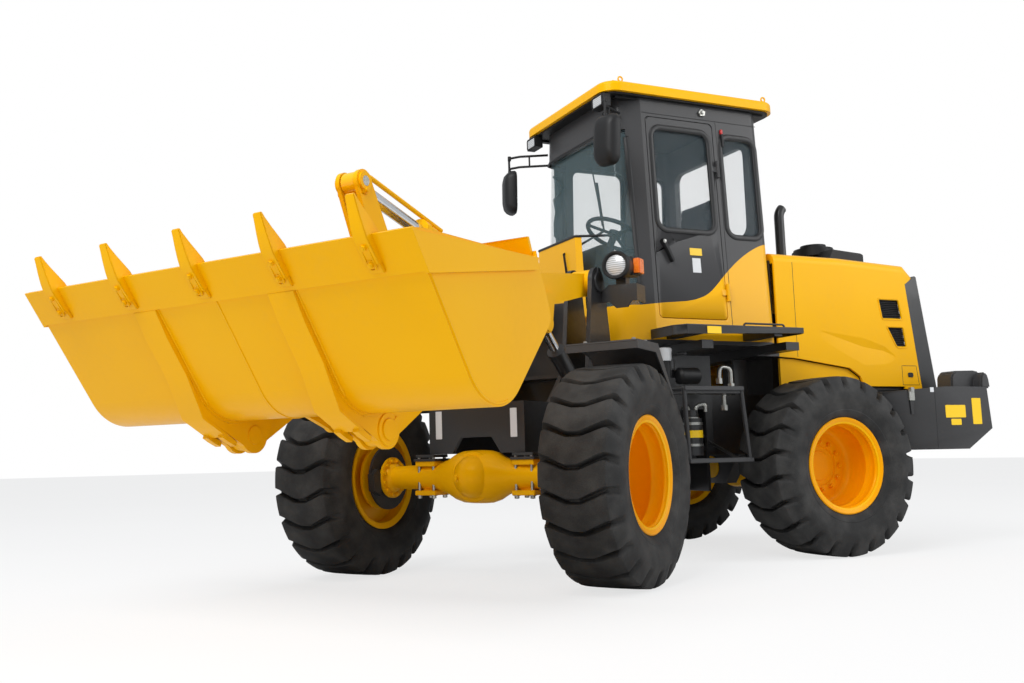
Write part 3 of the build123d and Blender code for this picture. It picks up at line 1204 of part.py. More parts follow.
with BuildPart() as hood:
    add(hood_form(0, HOOD_HALF))
    add(hood_form(HOOD_T, HOOD_HALF), mode=Mode.SUBTRACT)
    # open in front, below and behind
    inner = HOOD_HALF - HOOD_T
    block(HOOD_FRONT_X - HOOD_T - 5, HOOD_FRONT_X + 5, -inner, inner, 1200, HOOD_TOP_Z - 70,
          mode=Mode.SUBTRACT)
    block(HOOD_FRONT_X - HOOD_T - 5, HOOD_FRONT_X + 5, 60 - inner, inner - 60, 1200,
          HOOD_TOP_Z - HOOD_T, mode=Mode.SUBTRACT)
    with BuildSketch(side(inner)):
        outline([(-1170, 1150)] + [(x - HOOD_T - 5, z + HOOD_T + 8) for x, z in SEAM]
                + [(-2240, 1075), (-2240, 900), (-1170, 900)])
        outline([(-2200, 1000), (-2200, 1700), (strip_top[0] - 4, strip_top[1] + 16), (-2420, 1790),
                 (-2420, 1000)])
    extrude(amount=2 * inner, mode=Mode.SUBTRACT)
    for points in vents:
        with BuildSketch(side(HOOD_HALF + 5)):
            outline(points)
        extrude(amount=2 * HOOD_HALF + 10, mode=Mode.SUBTRACT)
    # pressed crease in each side, that fades out downwards
    add(crease.part, mode=Mode.SUBTRACT)
    add(crease.part.mirror(Plane.XZ), mode=Mode.SUBTRACT)
    # hinge knuckles
    for y0 in (HINGE_LUG_Y[1] + 8, -HINGE_LUG_Y[1] - 48):
        with BuildSketch(side(y0 + 40)):
            with Locations(HOOD_HINGE):
                Circle(HOOD_KNUCKLE_R)
            with Locations((HOOD_HINGE[0] - 10, HOOD_TOP_Z - HOOD_T - 10)):
                Rectangle(22, 22)
            with Locations(HOOD_HINGE):
                Circle(HINGE_PIN_R + PIN_FIT, mode=Mode.SUBTRACT)
        extrude(amount=40)
save(hood.part, "hood", REAR)

# rear surround: side strips and cross bars round the grille
slope_u = Vector(slope_top[0] - slope_low[0], 0, slope_top[1] - slope_low[1])
slope_len = slope_u.length
SLOPE = Plane(origin=(slope_low[0], 0, slope_low[1]), x_dir=(0, -1, 0),
              z_dir=(-slope_u.Z / slope_len, 0, slope_u.X / slope_len))
BAR_T = 30.0
GRILLE_HALF = 495.0
STRIP_Y = 500.0
GRILLE_Y = (28.0, 660.0)
GRILLE_PIN_R = 6.0
GRILLE_KNUCKLE_R = 10.0
GRILLE_KNUCKLES = (120.0, 540.0)


def grille_hinge(up):
    """Plane on the grille's hinge pin: local x away from the grille, local y inwards, z up the slope."""
    origin = SLOPE.from_local_coords(Vector(STRIP_Y, up, GRILLE_KNUCKLE_R))
    return Plane(origin=origin, x_dir=SLOPE.x_dir, z_dir=SLOPE.y_dir)


with BuildPart() as rear_surround:
    with BuildSketch(side(HOOD_HALF)):
        outline([strip_top, strip_low, slope_low, slope_top, (-2400, 1810)])
    extrude(amount=HOOD_HALF - STRIP_Y)
    mirror(about=Plane.XZ)
    for y0, y1 in ((0, GRILLE_Y[0] - PANEL_GAP), (GRILLE_Y[1] + PANEL_GAP, slope_len)):
        with BuildSketch(SLOPE):
            with Locations((0, (y0 + y1) / 2)):
                Rectangle(2 * STRIP_Y, y1 - y0)
        extrude(amount=-BAR_T)
    for y in GRILLE_KNUCKLES:
        with Locations(grille_hinge(y)):
            with Locations((0, 0, KNUCKLE_LEN + 1), (0, 0, -KNUCKLE_LEN - 1)):
                Cylinder(GRILLE_KNUCKLE_R, KNUCKLE_LEN)
            with Locations((8, GRILLE_KNUCKLE_R - 2, KNUCKLE_LEN + 1),
                           (8, GRILLE_KNUCKLE_R - 2, -KNUCKLE_LEN - 1)):
                Box(18, 6, KNUCKLE_LEN)
            Cylinder(GRILLE_PIN_R, 2 * KNUCKLE_LEN + 10)
save(rear_surround.part, "rear_surround", REAR)

SLAT_PITCH = 44.0
with BuildPart() as rear_grille:
    with BuildSketch(SLOPE):
        with Locations((0, sum(GRILLE_Y) / 2)):
            Rectangle(2 * GRILLE_HALF, GRILLE_Y[1] - GRILLE_Y[0])
            Rectangle(2 * GRILLE_HALF - 110, GRILLE_Y[1] - GRILLE_Y[0] - 110, mode=Mode.SUBTRACT)
    extrude(amount=-25)
    slats = int((GRILLE_Y[1] - GRILLE_Y[0] - 110) / SLAT_PITCH)
    with BuildSketch(SLOPE.offset(-6)):
        for i in range(slats):
            with Locations((0, GRILLE_Y[0] + 55 + (i + 0.5) * SLAT_PITCH)):
                Rectangle(2 * GRILLE_HALF - 108, 24)
        for x in (-220, 220):
            with Locations((x, sum(GRILLE_Y) / 2)):
                Rectangle(30, GRILLE_Y[1] - GRILLE_Y[0] - 108)
    extrude(amount=-12)
    for y in GRILLE_KNUCKLES:
        with Locations(grille_hinge(y)):
            Cylinder(GRILLE_KNUCKLE_R, KNUCKLE_LEN)
            with Locations((-16, GRILLE_KNUCKLE_R - 3, 0)):
                Box(32, 6, KNUCKLE_LEN)
            Cylinder(GRILLE_PIN_R + PIN_FIT, KNUCKLE_LEN + 4, mode=Mode.SUBTRACT)
save(rear_grille.part, "rear_grille", REAR)

# ---- exhaust stack and air intake ---------------------------------------------------------
STACK = (-1540.0, 200.0)
STACK_R = 33.0
STACK_BEND_Z = 2235.0
STACK_BEND_R = 90.0
with BuildPart() as exhaust_stack:
    with BuildSketch(level(HOOD_TOP_Z)):
        with Locations(STACK):
            Circle(STACK_R)
            Circle(STACK_R - 4, mode=Mode.SUBTRACT)
    extrude(amount=STACK_BEND_Z - HOOD_TOP_Z)
    with BuildSketch(level(STACK_BEND_Z)):
        with Locations(STACK):
            Circle(STACK_R)
            Circle(STACK_R - 4, mode=Mode.SUBTRACT)
    revolve(axis=Axis((STACK[0] - STACK_BEND_R, STACK[1], STACK_BEND_Z), (0, -1, 0)), revolution_arc=48)
    with BuildSketch(level(HOOD_TOP_Z)):
        with Locations(STACK):
            Circle(STACK_R + 22)
            Circle(STACK_R - 4, mode=Mode.SUBTRACT)
    extrude(amount=8)
save(exhaust_stack.part, "exhaust_stack", REAR)

INTAKE = (-2070.0, -60.0)
INTAKE_R = 150.0
with BuildPart() as air_intake:
    for r, z0, z1 in ((90, HOOD_TOP_Z - 80, 2030), (INTAKE_R, 2030, 2075), (INTAKE_R - 12, 2075, 2092),
                      (INTAKE_R - 60, 2092, 2120)):
        with BuildSketch(level(z0)):
            with Locations(INTAKE):
                Circle(r)
        extrude(amount=z1 - z0)
    with BuildSketch(side(200)):
        outline([(-1965, HOOD_TOP_Z - 80), (-2285, HOOD_TOP_Z - 80), (-2285, 2015), (-2265, 2030),
                 (-2010, 2045), (-1965, 1960)])
    extrude(amount=180)
    fillet(air_intake.edges().filter_by(Axis.X, tolerance=6).group_by(Axis.Z)[-1], 14)
    add(hood_form(0, HOOD_HALF), mode=Mode.SUBTRACT)
save(air_intake.part, "air_intake", REAR)
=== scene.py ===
"""Compact articulated wheel loader: the finished surfaces and small pieces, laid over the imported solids."""
import json
from math import atan2, cos, pi, radians, sin, tan
import bmesh
import bpy
from mathutils import Matrix, Vector
from mathutils.bvhtree import BVHTree


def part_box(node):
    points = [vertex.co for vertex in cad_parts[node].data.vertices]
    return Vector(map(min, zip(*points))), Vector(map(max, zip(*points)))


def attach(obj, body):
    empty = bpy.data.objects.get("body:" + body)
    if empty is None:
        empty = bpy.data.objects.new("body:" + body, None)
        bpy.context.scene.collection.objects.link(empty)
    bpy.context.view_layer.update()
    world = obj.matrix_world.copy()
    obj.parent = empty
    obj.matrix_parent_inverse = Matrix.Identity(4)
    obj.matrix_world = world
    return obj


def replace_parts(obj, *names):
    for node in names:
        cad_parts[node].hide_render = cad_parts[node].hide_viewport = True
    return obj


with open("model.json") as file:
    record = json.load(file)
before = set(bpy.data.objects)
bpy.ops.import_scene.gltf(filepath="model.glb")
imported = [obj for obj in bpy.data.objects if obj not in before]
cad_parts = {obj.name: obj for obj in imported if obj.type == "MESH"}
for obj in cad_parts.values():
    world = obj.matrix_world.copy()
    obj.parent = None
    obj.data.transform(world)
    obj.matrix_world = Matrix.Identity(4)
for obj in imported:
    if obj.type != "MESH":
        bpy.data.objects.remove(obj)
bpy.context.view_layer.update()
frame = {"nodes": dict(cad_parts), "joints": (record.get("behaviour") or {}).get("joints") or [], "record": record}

# ---- the camera, the floor and the light --------------------------------------------------
# The camera looks at the machine's front left corner from about 6 m, a little above axle height. It stands in
# a white room on a white floor, and two soft lamps give the light.
cam_data = bpy.data.cameras.new("camera")
cam_data.sensor_width = 36.0
cam_data.lens = 35.44
cam_data.shift_x = 0.0585
cam_data.shift_y = -0.0047
cam_data.clip_end = 200.0
camera = bpy.data.objects.new("camera", cam_data)
bpy.context.scene.collection.objects.link(camera)
right_way = Vector((-0.92013081, 0.39089713, -0.02363756))
up_way = Vector((0.02474158, 0.11826609, 0.99267366))
facing = Matrix((right_way, up_way, right_way.cross(up_way))).transposed().to_4x4()
camera.matrix_world = Matrix.Translation((2.9619, 4.7641, 0.6437)) @ facing
bpy.context.scene.camera = camera


def wire(tree, *links):
    """Join these (output, input) pairs of a node tree."""
    for a, b in links:
        tree.links.new(a, b)


def plain(rgb):
    """A colour written as 0 to 255 for the screen, as the shader wants it."""
    return [(v / 255 / 12.92 if v <= 10 else ((v / 255 + 0.055) / 1.055) ** 2.4) for v in rgb] + [1.0]


class Signal:
    """A shader socket that can stand in a sum: each sign adds its Math node."""

    def __init__(self, finish, socket):
        self.finish = finish
        self.socket = socket

    def math(self, operation, *values):
        return self.finish.node("ShaderNodeMath", {"operation": operation}, dict(enumerate(values)))

    def __add__(self, other):
        return self.math("ADD", self, other)

    def __sub__(self, other):
        return self.math("SUBTRACT", self, other)

    def __mul__(self, other):
        return self.math("MULTIPLY", self, other)

    def __truediv__(self, other):
        return self.math("DIVIDE", self, other)

    def __gt__(self, other):
        return self.math("GREATER_THAN", self, other)

    def clamped(self):
        return self.finish.node("ShaderNodeClamp", {}, {0: self})


class Finish:
    """One material, built up from its Principled surface."""

    def __init__(self, name, slot, **constants):
        self.slot = slot
        self.material = bpy.data.materials.new(name)
        self.material.use_nodes = True
        self.tree = self.material.node_tree
        self.surface = self.tree.nodes["Principled BSDF"]
        self.output = self.tree.nodes["Material Output"]
        for key, value in constants.items():
            self.surface.inputs[key.replace("_", " ").title().replace("Ior", "IOR")].default_value = value

    def node(self, kind, settings, values, out=0):
        """A node of this kind: its settings first, then the values or links of its sockets."""
        made = self.tree.nodes.new(kind)
        for key, value in settings.items():
            if key == "stops":
                ramp = made.color_ramp
                while len(ramp.elements) < len(value):
                    ramp.elements.new(0.5)
                for element, (place, tone) in zip(ramp.elements, value):
                    element.position = place
                    element.color = tone
            elif key == "curve":
                line = made.mapping.curves[0]
                for place, height in value[1:-1]:
                    line.points.new(place, height)
                for point, place in zip(line.points, value):
                    point.location = place
                made.mapping.update()
            else:
                setattr(made, key, value)
        for key, value in values.items():
            if isinstance(value, Signal):
                self.tree.links.new(value.socket, made.inputs[key])
            else:
                made.inputs[key].default_value = value
        return Signal(self, made.outputs[out])

    def place(self):
        """Where a point lies, in metres, as its piece stands at rest."""
        return self.node("ShaderNodeTexCoord", {}, {}, "Object")

    def axes(self):
        """The three numbers of that place."""
        split = self.tree.nodes.new("ShaderNodeSeparateXYZ")
        self.tree.links.new(self.place().socket, split.inputs[0])
        return [Signal(self, s) for s in split.outputs]

    def noise(self, scale, detail=2.0):
        return self.node("ShaderNodeTexNoise", {}, {"Vector": self.place(), "Scale": scale, "Detail": detail})

    def ramp(self, signal, low, high, start=0.3, end=0.7):
        """From low to high while the signal goes from start to end."""
        stops = [(start, (low, low, low, 1)), (end, (high, high, high, 1))]
        return self.node("ShaderNodeValToRGB", {"stops": stops}, {0: signal})

    def mix(self, factor, a, b):
        """From one colour, 0 to 255 or a signal, to the other."""
        a, b = [c if isinstance(c, Signal) else plain(c) for c in (a, b)]
        return self.node("ShaderNodeMix", {"data_type": "RGBA"}, {0: factor, 6: a, 7: b}, 2)

    def feed(self, **signals):
        for key, signal in signals.items():
            self.tree.links.new(signal.socket, self.surface.inputs[key.replace("_", " ").title()])
        return self

    def bump(self, height, depth, under=None):
        """Height in shares of depth, which is in metres."""
        values = {"Height": height, "Distance": depth, "Strength": 1.0}
        if under:
            values["Normal"] = under
        return self.node("ShaderNodeBump", {}, values)

    def eased(self, radius):
        """The normal of edges eased by this radius in metres."""
        return self.node("ShaderNodeBevel", {"samples": 3}, {"Radius": radius})


def floor_and_light():
    """White studio floor that keeps the machine's shadow, a white room and two soft lamps."""
    bm = bmesh.new()
    for x, y in ((-40, -60), (40, -60), (40, 20), (-40, 20)):
        bm.verts.new((x, y, 0))
    bm.faces.new(bm.verts)
    mesh = bpy.data.meshes.new("studio_floor")
    bm.to_mesh(mesh)
    floor = bpy.data.objects.new("studio_floor", mesh)
    bpy.context.scene.collection.objects.link(floor)
    paper = Finish("studio_paper", None, roughness=0.9, specular_ior_level=0.1)
    paper.feed(base_color=paper.mix(paper.noise(0.4), (226, 226, 226), (232, 232, 232)))
    rays = paper.tree.nodes.new("ShaderNodeLightPath")
    glow = paper.tree.nodes.new("ShaderNodeEmission")
    glow.inputs["Strength"].default_value = 1.0
    blend = paper.tree.nodes.new("ShaderNodeMixShader")
    seen = Signal(paper, rays.outputs["Is Camera Ray"]) + Signal(paper, rays.outputs["Is Transmission Ray"])
    wire(paper.tree, ((seen.clamped() * 0.72).socket, blend.inputs[0]),
         (paper.surface.outputs[0], blend.inputs[1]), (glow.outputs[0], blend.inputs[2]),
         (blend.outputs[0], paper.output.inputs[0]))
    mesh.materials.append(paper.material)

    world = bpy.data.worlds.new("room")
    bpy.context.scene.world = world
    world.use_nodes = True
    tree = world.node_tree
    tree.nodes.clear()
    rays, seen, walls, white, blend, out = [tree.nodes.new("ShaderNode" + kind) for kind in (
        "LightPath", "Math", "Background", "Background", "MixShader", "OutputWorld")]
    seen.operation = "MAXIMUM"
    walls.inputs[0].default_value = (0.93, 0.96, 1.0, 1)
    walls.inputs[1].default_value = 0.62
    white.inputs[0].default_value = (1, 1, 1, 1)
    white.inputs[1].default_value = 1.0
    wire(tree, (rays.outputs["Is Camera Ray"], seen.inputs[0]),
         (rays.outputs["Is Transmission Ray"], seen.inputs[1]), (seen.outputs[0], blend.inputs[0]),
         (walls.outputs[0], blend.inputs[1]), (white.outputs[0], blend.inputs[2]),
         (blend.outputs[0], out.inputs[0]))

    for name, place, target, power in (("key", (5.5, 3.5, 7.5), (-0.2, -0.6, 1.2), 620),
                                       ("side", (-7.0, 5.0, 5.0), (-1.2, -0.6, 1.2), 260)):
        lamp = bpy.data.lights.new(name, "AREA")
        lamp.size = 5.0
        lamp.energy = power
        lamp_object = bpy.data.objects.new(name, lamp)
        lamp_object.location = place
        lamp_object.rotation_euler = (Vector(target) - Vector(place)).to_track_quat("-Z", "Y").to_euler()
        bpy.context.scene.collection.objects.link(lamp_object)
    bpy.context.scene.view_settings.view_transform = "Standard"


floor_and_light()

# ---- paint, iron and rubber ---------------------------------------------------------------
# The machine is sprayed in gloss yellow and in black and grey enamel: fine orange peel, a thin film of dust
# in scattered patches, and a sheen that softens in fine scattered patches.
YELLOW, YELLOW_SHADE = (243, 180, 0), (240, 175, 0)
CHARCOAL = (62, 62, 63)


def paint(name, slot, tone, shade, rough, peel, coat=0.0, gloss=0.5, warmth=(1, 1, 1, 1)):
    """Sprayed enamel: tone drifts to shade in broad soft patches."""
    finish = Finish(name, slot, coat_roughness=0.09, coat_weight=coat, specular_ior_level=gloss,
                    specular_tint=warmth)
    broad = finish.noise(1.7, 3.0)
    fine = finish.noise(38.0, 4.0)
    colour = finish.mix(finish.ramp(broad, 0.0, 1.0, 0.3, 0.75), tone, shade)
    dust = finish.ramp(fine * 0.5 + broad * 0.5, 0.0, 1.0, 0.52, 0.7) * 0.03
    peeled = finish.bump(finish.noise(420.0, 2.0), peel, finish.eased(0.0022))
    return finish.feed(base_color=finish.mix(dust, colour, (150, 140, 122)), normal=peeled,
                       roughness=finish.ramp(fine, rough - 0.05, rough + 0.07, 0.25, 0.75))


yellow_paint = paint("yellow_enamel", "yellow_paint", YELLOW, YELLOW_SHADE, 0.34, 0.00022, coat=0.02,
                     gloss=0.3, warmth=(1, 0.75, 0.2, 1))
black_paint = paint("black_enamel", "black_paint", (34, 34, 35), (28, 28, 29), 0.38, 0.0002, coat=0.2)
grey_paint = paint("grey_powder_coat", "dark_grey_paint", (52, 52, 53), (45, 45, 46), 0.5, 0.0005)
rim_paint = paint("wheel_enamel", "yellow_paint", (246, 166, 0), (240, 158, 0), 0.32, 0.00015, coat=0.02,
                  gloss=0.35, warmth=(1, 0.7, 0.15, 1))
cast_iron = paint("cast_iron_rough", "cast_iron", (48, 45, 43), (38, 36, 34), 0.62, 0.0012)

plastic = Finish("moulded_plastic", "plastic", specular_ior_level=0.35)
grain = plastic.noise(900.0, 1.0)
plastic.feed(base_color=plastic.mix(plastic.noise(6.0), (17, 17, 18), (27, 27, 28)),
             roughness=plastic.ramp(grain, 0.42, 0.56), normal=plastic.bump(grain, 0.0003))

chrome = Finish("hard_chrome", "chrome", metallic=1.0)
scratches = chrome.noise(300.0, 3.0)
chrome.feed(base_color=chrome.mix(scratches, (205, 207, 210), (232, 233, 235)),
            roughness=chrome.ramp(scratches, 0.08, 0.18))

zinc = Finish("zinc_plate", "chrome", metallic=1.0)
cloud = zinc.noise(120.0, 4.0)
zinc.feed(base_color=zinc.mix(cloud, (150, 150, 146), (196, 196, 190)),
          roughness=zinc.ramp(cloud, 0.28, 0.42))

rubber = Finish("tyre_rubber_dusty", "tyre_rubber", specular_ior_level=0.4)
worn = rubber.noise(9.0, 5.0)
speck = rubber.noise(240.0, 3.0)
rubber.feed(base_color=rubber.mix(rubber.ramp(worn * 0.6 + speck * 0.4, 0.0, 1.0, 0.42, 0.72),
                                  (22, 22, 22), (64, 63, 61)),
            roughness=rubber.ramp(speck, 0.6, 0.78), normal=rubber.bump(speck * 0.6 + worn * 0.4, 0.0012))

seal_rubber = Finish("seal_rubber", "plastic", specular_ior_level=0.5)
bloom = seal_rubber.noise(60.0, 3.0)
seal_rubber.feed(base_color=seal_rubber.mix(bloom, (20, 20, 21), (32, 32, 33)),
                 roughness=seal_rubber.ramp(bloom, 0.38, 0.52),
                 normal=seal_rubber.bump(seal_rubber.noise(500.0), 0.0002))

seat_cloth = Finish("seat_cloth", "seat_cover", sheen_weight=0.25)
weave = seat_cloth.noise(700.0, 2.0)
seat_cloth.feed(base_color=seat_cloth.mix(weave, (24, 25, 28), (44, 46, 50)),
                roughness=seat_cloth.ramp(weave, 0.8, 0.95), normal=seat_cloth.bump(weave, 0.0006))


def glazing(name, tint, alpha):
    """Flat safety glass: mostly clear, tinted in the sheet, with a faint film."""
    finish = Finish(name, "glass", ior=1.5, alpha=alpha)
    film = finish.noise(5.0, 4.0)
    return finish.feed(base_color=finish.mix(film, tint, [v + 10 for v in tint]),
                       roughness=finish.ramp(film, 0.02, 0.05))


def dress(node, finish):
    """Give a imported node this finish."""
    for slot in frame["nodes"][node].material_slots:
        slot.material = finish.material


by_slot = {"yellow_paint": yellow_paint, "black_paint": black_paint, "dark_grey_paint": grey_paint,
           "cast_iron": cast_iron, "glass": glazing("side_glass", (96, 118, 128), 0.09),
           "seat_cover": seat_cloth, "plastic": plastic, "chrome": chrome, "tyre_rubber": rubber}
for part in frame["record"]["subparts"]:
    dress(part["node"], by_slot[part["material_slot"]])
dress("windshield", glazing("front_glass", (120, 146, 152), 0.16))

# ---- wheels -------------------------------------------------------------------------------
# Tubeless loader tyres on deep steel rims. Each tyre is moulded in equal pitches with one broad wavy lug in
# each; the rim is rolled with a flange and a lock ring, and its disc is held to the hub by twelve nuts.
joints = {joint["name"]: joint for joint in frame["joints"]}
pivot = Vector(joints["articulation"]["pos_m"]) * Vector((1, 1, 0))
swing = atan2(joints["boom_lift"]["axis"][0], -joints["boom_lift"]["axis"][1])
STEERED = Matrix.Rotation(swing, 4, "Z")
MILLIMETRE = Matrix.Scale(0.001, 4)
REAR = Matrix.Translation(pivot) @ MILLIMETRE
FRONT = Matrix.Translation(pivot) @ STEERED @ MILLIMETRE
# from each body's drawing, in millimetres about the articulation pin, to where it stands
home = {"chassis": REAR, "cab_door": REAR, "bonnet": REAR, "front_half": FRONT, "rocker": FRONT,
        "tilt_rod": FRONT}


def new_object(name, mesh):
    made = bpy.data.objects.new(name, mesh)
    bpy.context.scene.collection.objects.link(made)
    return made


def worked_out(thing):
    """The plain mesh that an object's modifiers make."""
    return bpy.data.meshes.new_from_object(thing.evaluated_get(bpy.context.evaluated_depsgraph_get()))


def settle(name, mesh, finish, body, sharp=35, place=None):
    """Put a mesh made in millimetres where it stands, give it its finish and let it ride on its body."""
    mesh.transform(place or home[body])
    mesh.materials.clear()
    mesh.materials.append(finish.material)
    mesh.polygons.foreach_set("use_smooth", [True] * len(mesh.polygons))
    mesh.set_sharp_from_angle(angle=radians(sharp))
    piece = new_object(name, mesh)
    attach(piece, body)
    return piece


def growth(name, inputs, kinds):
    """A Geometry Nodes tree with these named inputs, and its nodes: input, output and one of each kind."""
    tree = bpy.data.node_groups.new(name, "GeometryNodeTree")
    tree.interface.new_socket("Geometry", in_out="INPUT", socket_type="NodeSocketGeometry")
    for label, kind in inputs:
        tree.interface.new_socket(label, in_out="INPUT", socket_type="NodeSocket" + kind)
    tree.interface.new_socket("Geometry", in_out="OUTPUT", socket_type="NodeSocketGeometry")
    return [tree] + [tree.nodes.new(kind) for kind in ("NodeGroupInput", "NodeGroupOutput") + kinds]


def grown(shape, tree, **values):
    """The plain mesh that a Geometry Nodes tree makes of a shape, with these values in its named inputs."""
    mesh = shape.mesh("seed")
    seed = new_object("seed", mesh)
    nodes = seed.modifiers.new("grow", "NODES")
    nodes.node_group = tree
    for socket in tree.interface.items_tree:
        if socket.in_out == "INPUT" and socket.name in values:
            nodes[socket.identifier] = values[socket.name]
    result = worked_out(seed)
    bpy.data.objects.remove(seed)
    bpy.data.meshes.remove(mesh)
    return result


def rounded(x0, x1, z0, z1, radius, steps=7, outward=False):
    """A rounded rectangle's points, anticlockwise, or where each of them faces."""
    points = []
    for cx, cz, start in ((x1 - radius, z1 - radius, 0), (x0 + radius, z1 - radius, 90),
                          (x0 + radius, z0 + radius, 180), (x1 - radius, z0 + radius, 270)):
        for i in range(steps + 1):
            a, b = cos(radians(start + 90 * i / steps)), sin(radians(start + 90 * i / steps))
            points.append((a, b) if outward else (cx + radius * a, cz + radius * b))
    return points


def circle(count, radius=1.0, shift=0.0):
    """Points round a circle, the first of them this share of a step from the start."""
    return [(radius * cos(2 * pi * (i + shift) / count), radius * sin(2 * pi * (i + shift) / count))
            for i in range(count)]


def bent_path(points, radius, steps=6):
    """The run through these points with each corner turned on an arc."""
    points = [Vector(p) for p in points]
    path = [points[0]]
    for before, corner, after in zip(points, points[1:], points[2:]):
        a, b = (before - corner), (after - corner)
        turn = pi - a.angle(b)
        reach = min(radius * tan(turn / 2), a.length * 0.48, b.length * 0.48)
        start, end = corner + a.normalized() * reach, corner + b.normalized() * reach
        for i in range(steps + 1):
            t = i / steps
            path.append(start * (1 - t) ** 2 + corner * 2 * t * (1 - t) + end * t ** 2)
    return path + [points[-1]]


# metres and millimetres within which corners are one, the radius of a point on the axis, the angle that makes
# an edge hard, and a weld bead's steps
SEAM_M, SEAM_MM, ON_AXIS = 0.00002, 0.01, 0.001
HARD_EDGE = radians(28)
BEAD_STEP = 14


class Shape:
    """A piece while it is drawn, in millimetres."""

    def __init__(self, source=None):
        """Empty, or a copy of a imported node's mesh with its seams joined."""
        self.bm = bmesh.new()
        if source:
            self.bm.from_mesh(frame["nodes"][source].data)
            bmesh.ops.remove_doubles(self.bm, verts=self.bm.verts, dist=SEAM_M)
            self.bm.transform(REAR.inverted())

    def mesh(self, name):
        """The finished mesh; the shape can't be drawn on after it."""
        made = bpy.data.meshes.new(name)
        self.bm.to_mesh(made)
        self.bm.free()
        return made

    def skin(self, rings, closed=False, caps_last=False):
        """Faces from ring to ring of points, with a cap at each end or on round to the first."""
        rings = [[self.bm.verts.new(point) for point in ring] for ring in rings]
        size = len(rings[0])
        sides = [(first[i], first[(i + 1) % size], second[(i + 1) % size], second[i])
                 for first, second in zip(rings, rings[1:] + (rings[:1] if closed else []))
                 for i in range(size)]
        caps = [] if closed else [rings[0][::-1], rings[-1]]
        for corners in (sides + caps if caps_last else caps + sides):
            self.bm.faces.new(corners)
        return self

    def prism(self, outline, low, high, along="Y"):
        """A flat outline carried from low to high along an axis; its points are the other two axes."""
        number = "XYZ".index(along)
        return self.skin([[(*point[:number], height, *point[number:]) for point in outline]
                          for height in (low, high)])

    def plate(self, x0, x1, z0, z1, radius, low, high, along="Y"):
        """A plate with rounded corners."""
        return self.prism(rounded(x0, x1, z0, z1, radius), low, high, along)

    def slab(self, x0, x1, y0, y1, z0, z1):
        return self.prism([(x0, y0), (x1, y0), (x1, y1), (x0, y1)], z0, z1, "Z")

    def lathe(self, profile, origin=(0, 0, 0), axis="Y", steps=64):
        """Turn a profile of (place along the axis, radius) round an axis through origin."""
        number, across, up = {"X": (0, 1, 2), "Y": (1, 0, 2), "Z": (2, 0, 1)}[axis]
        rings = []
        for a, b in circle(steps):
            ring = []
            for along, radius in profile:
                point = list(origin)
                point[number] += along
                point[across] += radius * a
                point[up] += radius * b
                ring.append(self.bm.verts.new(point))
            rings.append(ring)
        for first, second in zip(rings, rings[1:] + rings[:1]):
            for i, ((_, start), (_, end)) in enumerate(zip(profile, profile[1:])):
                corners = [first[i], first[i + 1], second[i + 1], second[i]]
                if start < ON_AXIS:
                    corners.pop(3)
                if end < ON_AXIS:
                    corners.pop(2)
                if len(corners) > 2:
                    self.bm.faces.new(corners)
        return self

    def sweep(self, path, section, closed=False, up=None):
        """Carry a section along a path; the section's points are (sideways, up)."""
        rings = []
        count = len(path)
        side = None
        for i, point in enumerate(path):
            before = path[i - 1] if i or closed else path[0]
            after = path[(i + 1) % count] if i < count - 1 or closed else path[-1]
            way = (Vector(after) - Vector(before)).normalized()
            if up is not None:
                side = way.cross(Vector(up[i] if isinstance(up, list) else up)).normalized()
            elif side is None:
                side = way.orthogonal().normalized()
            else:
                side = (side - way * side.dot(way)).normalized()
            lift = side.cross(way).normalized()
            rings.append([Vector(point) + side * a + lift * b for a, b in section])
        return self.skin(rings, closed)

    def pipe(self, points, radius, bend=60.0, sides=12):
        return self.sweep(bent_path(points, bend), circle(sides, radius))

    def bead(self, points, radius=5.0):
        """A weld bead along these points: a fat cord of metal."""
        length = sum((Vector(b) - Vector(a)).length for a, b in zip(points, points[1:]))
        steps = max(4, int(length / BEAD_STEP))
        path = []
        for a, b in zip(points, points[1:]):
            a, b = Vector(a), Vector(b)
            runs = max(2, int(steps * (b - a).length / length))
            path += [a.lerp(b, i / runs) for i in range(runs)]
        return self.sweep(path + [Vector(points[-1])], circle(6, radius))

    def both_sides(self):
        """Add the mirror image about the machine's middle plane."""
        bm = self.bm
        copy = bmesh.ops.duplicate(bm, geom=bm.verts[:] + bm.edges[:] + bm.faces[:])["geom"]
        bmesh.ops.scale(bm, vec=(1, -1, 1), verts=[v for v in copy if isinstance(v, bmesh.types.BMVert)])
        bmesh.ops.reverse_faces(bm, faces=[f for f in copy if isinstance(f, bmesh.types.BMFace)])
        return self


def keep(name, shape, finish, body, bevel=0.0, sharp=35, place=None):
    """Close a shape, ease its hard edges and settle it as a piece."""
    bm = shape.bm
    bmesh.ops.remove_doubles(bm, verts=bm.verts, dist=SEAM_MM)
    bmesh.ops.recalc_face_normals(bm, faces=bm.faces)
    if bevel:
        hard = [e for e in bm.edges if len(e.link_faces) == 2 and e.calc_face_angle() > HARD_EDGE]
        bmesh.ops.bevel(bm, geom=hard, offset=bevel, segments=2, affect="EDGES", clamp_overlap=True)
    return settle(name, shape.mesh(name), finish, body, sharp, place)


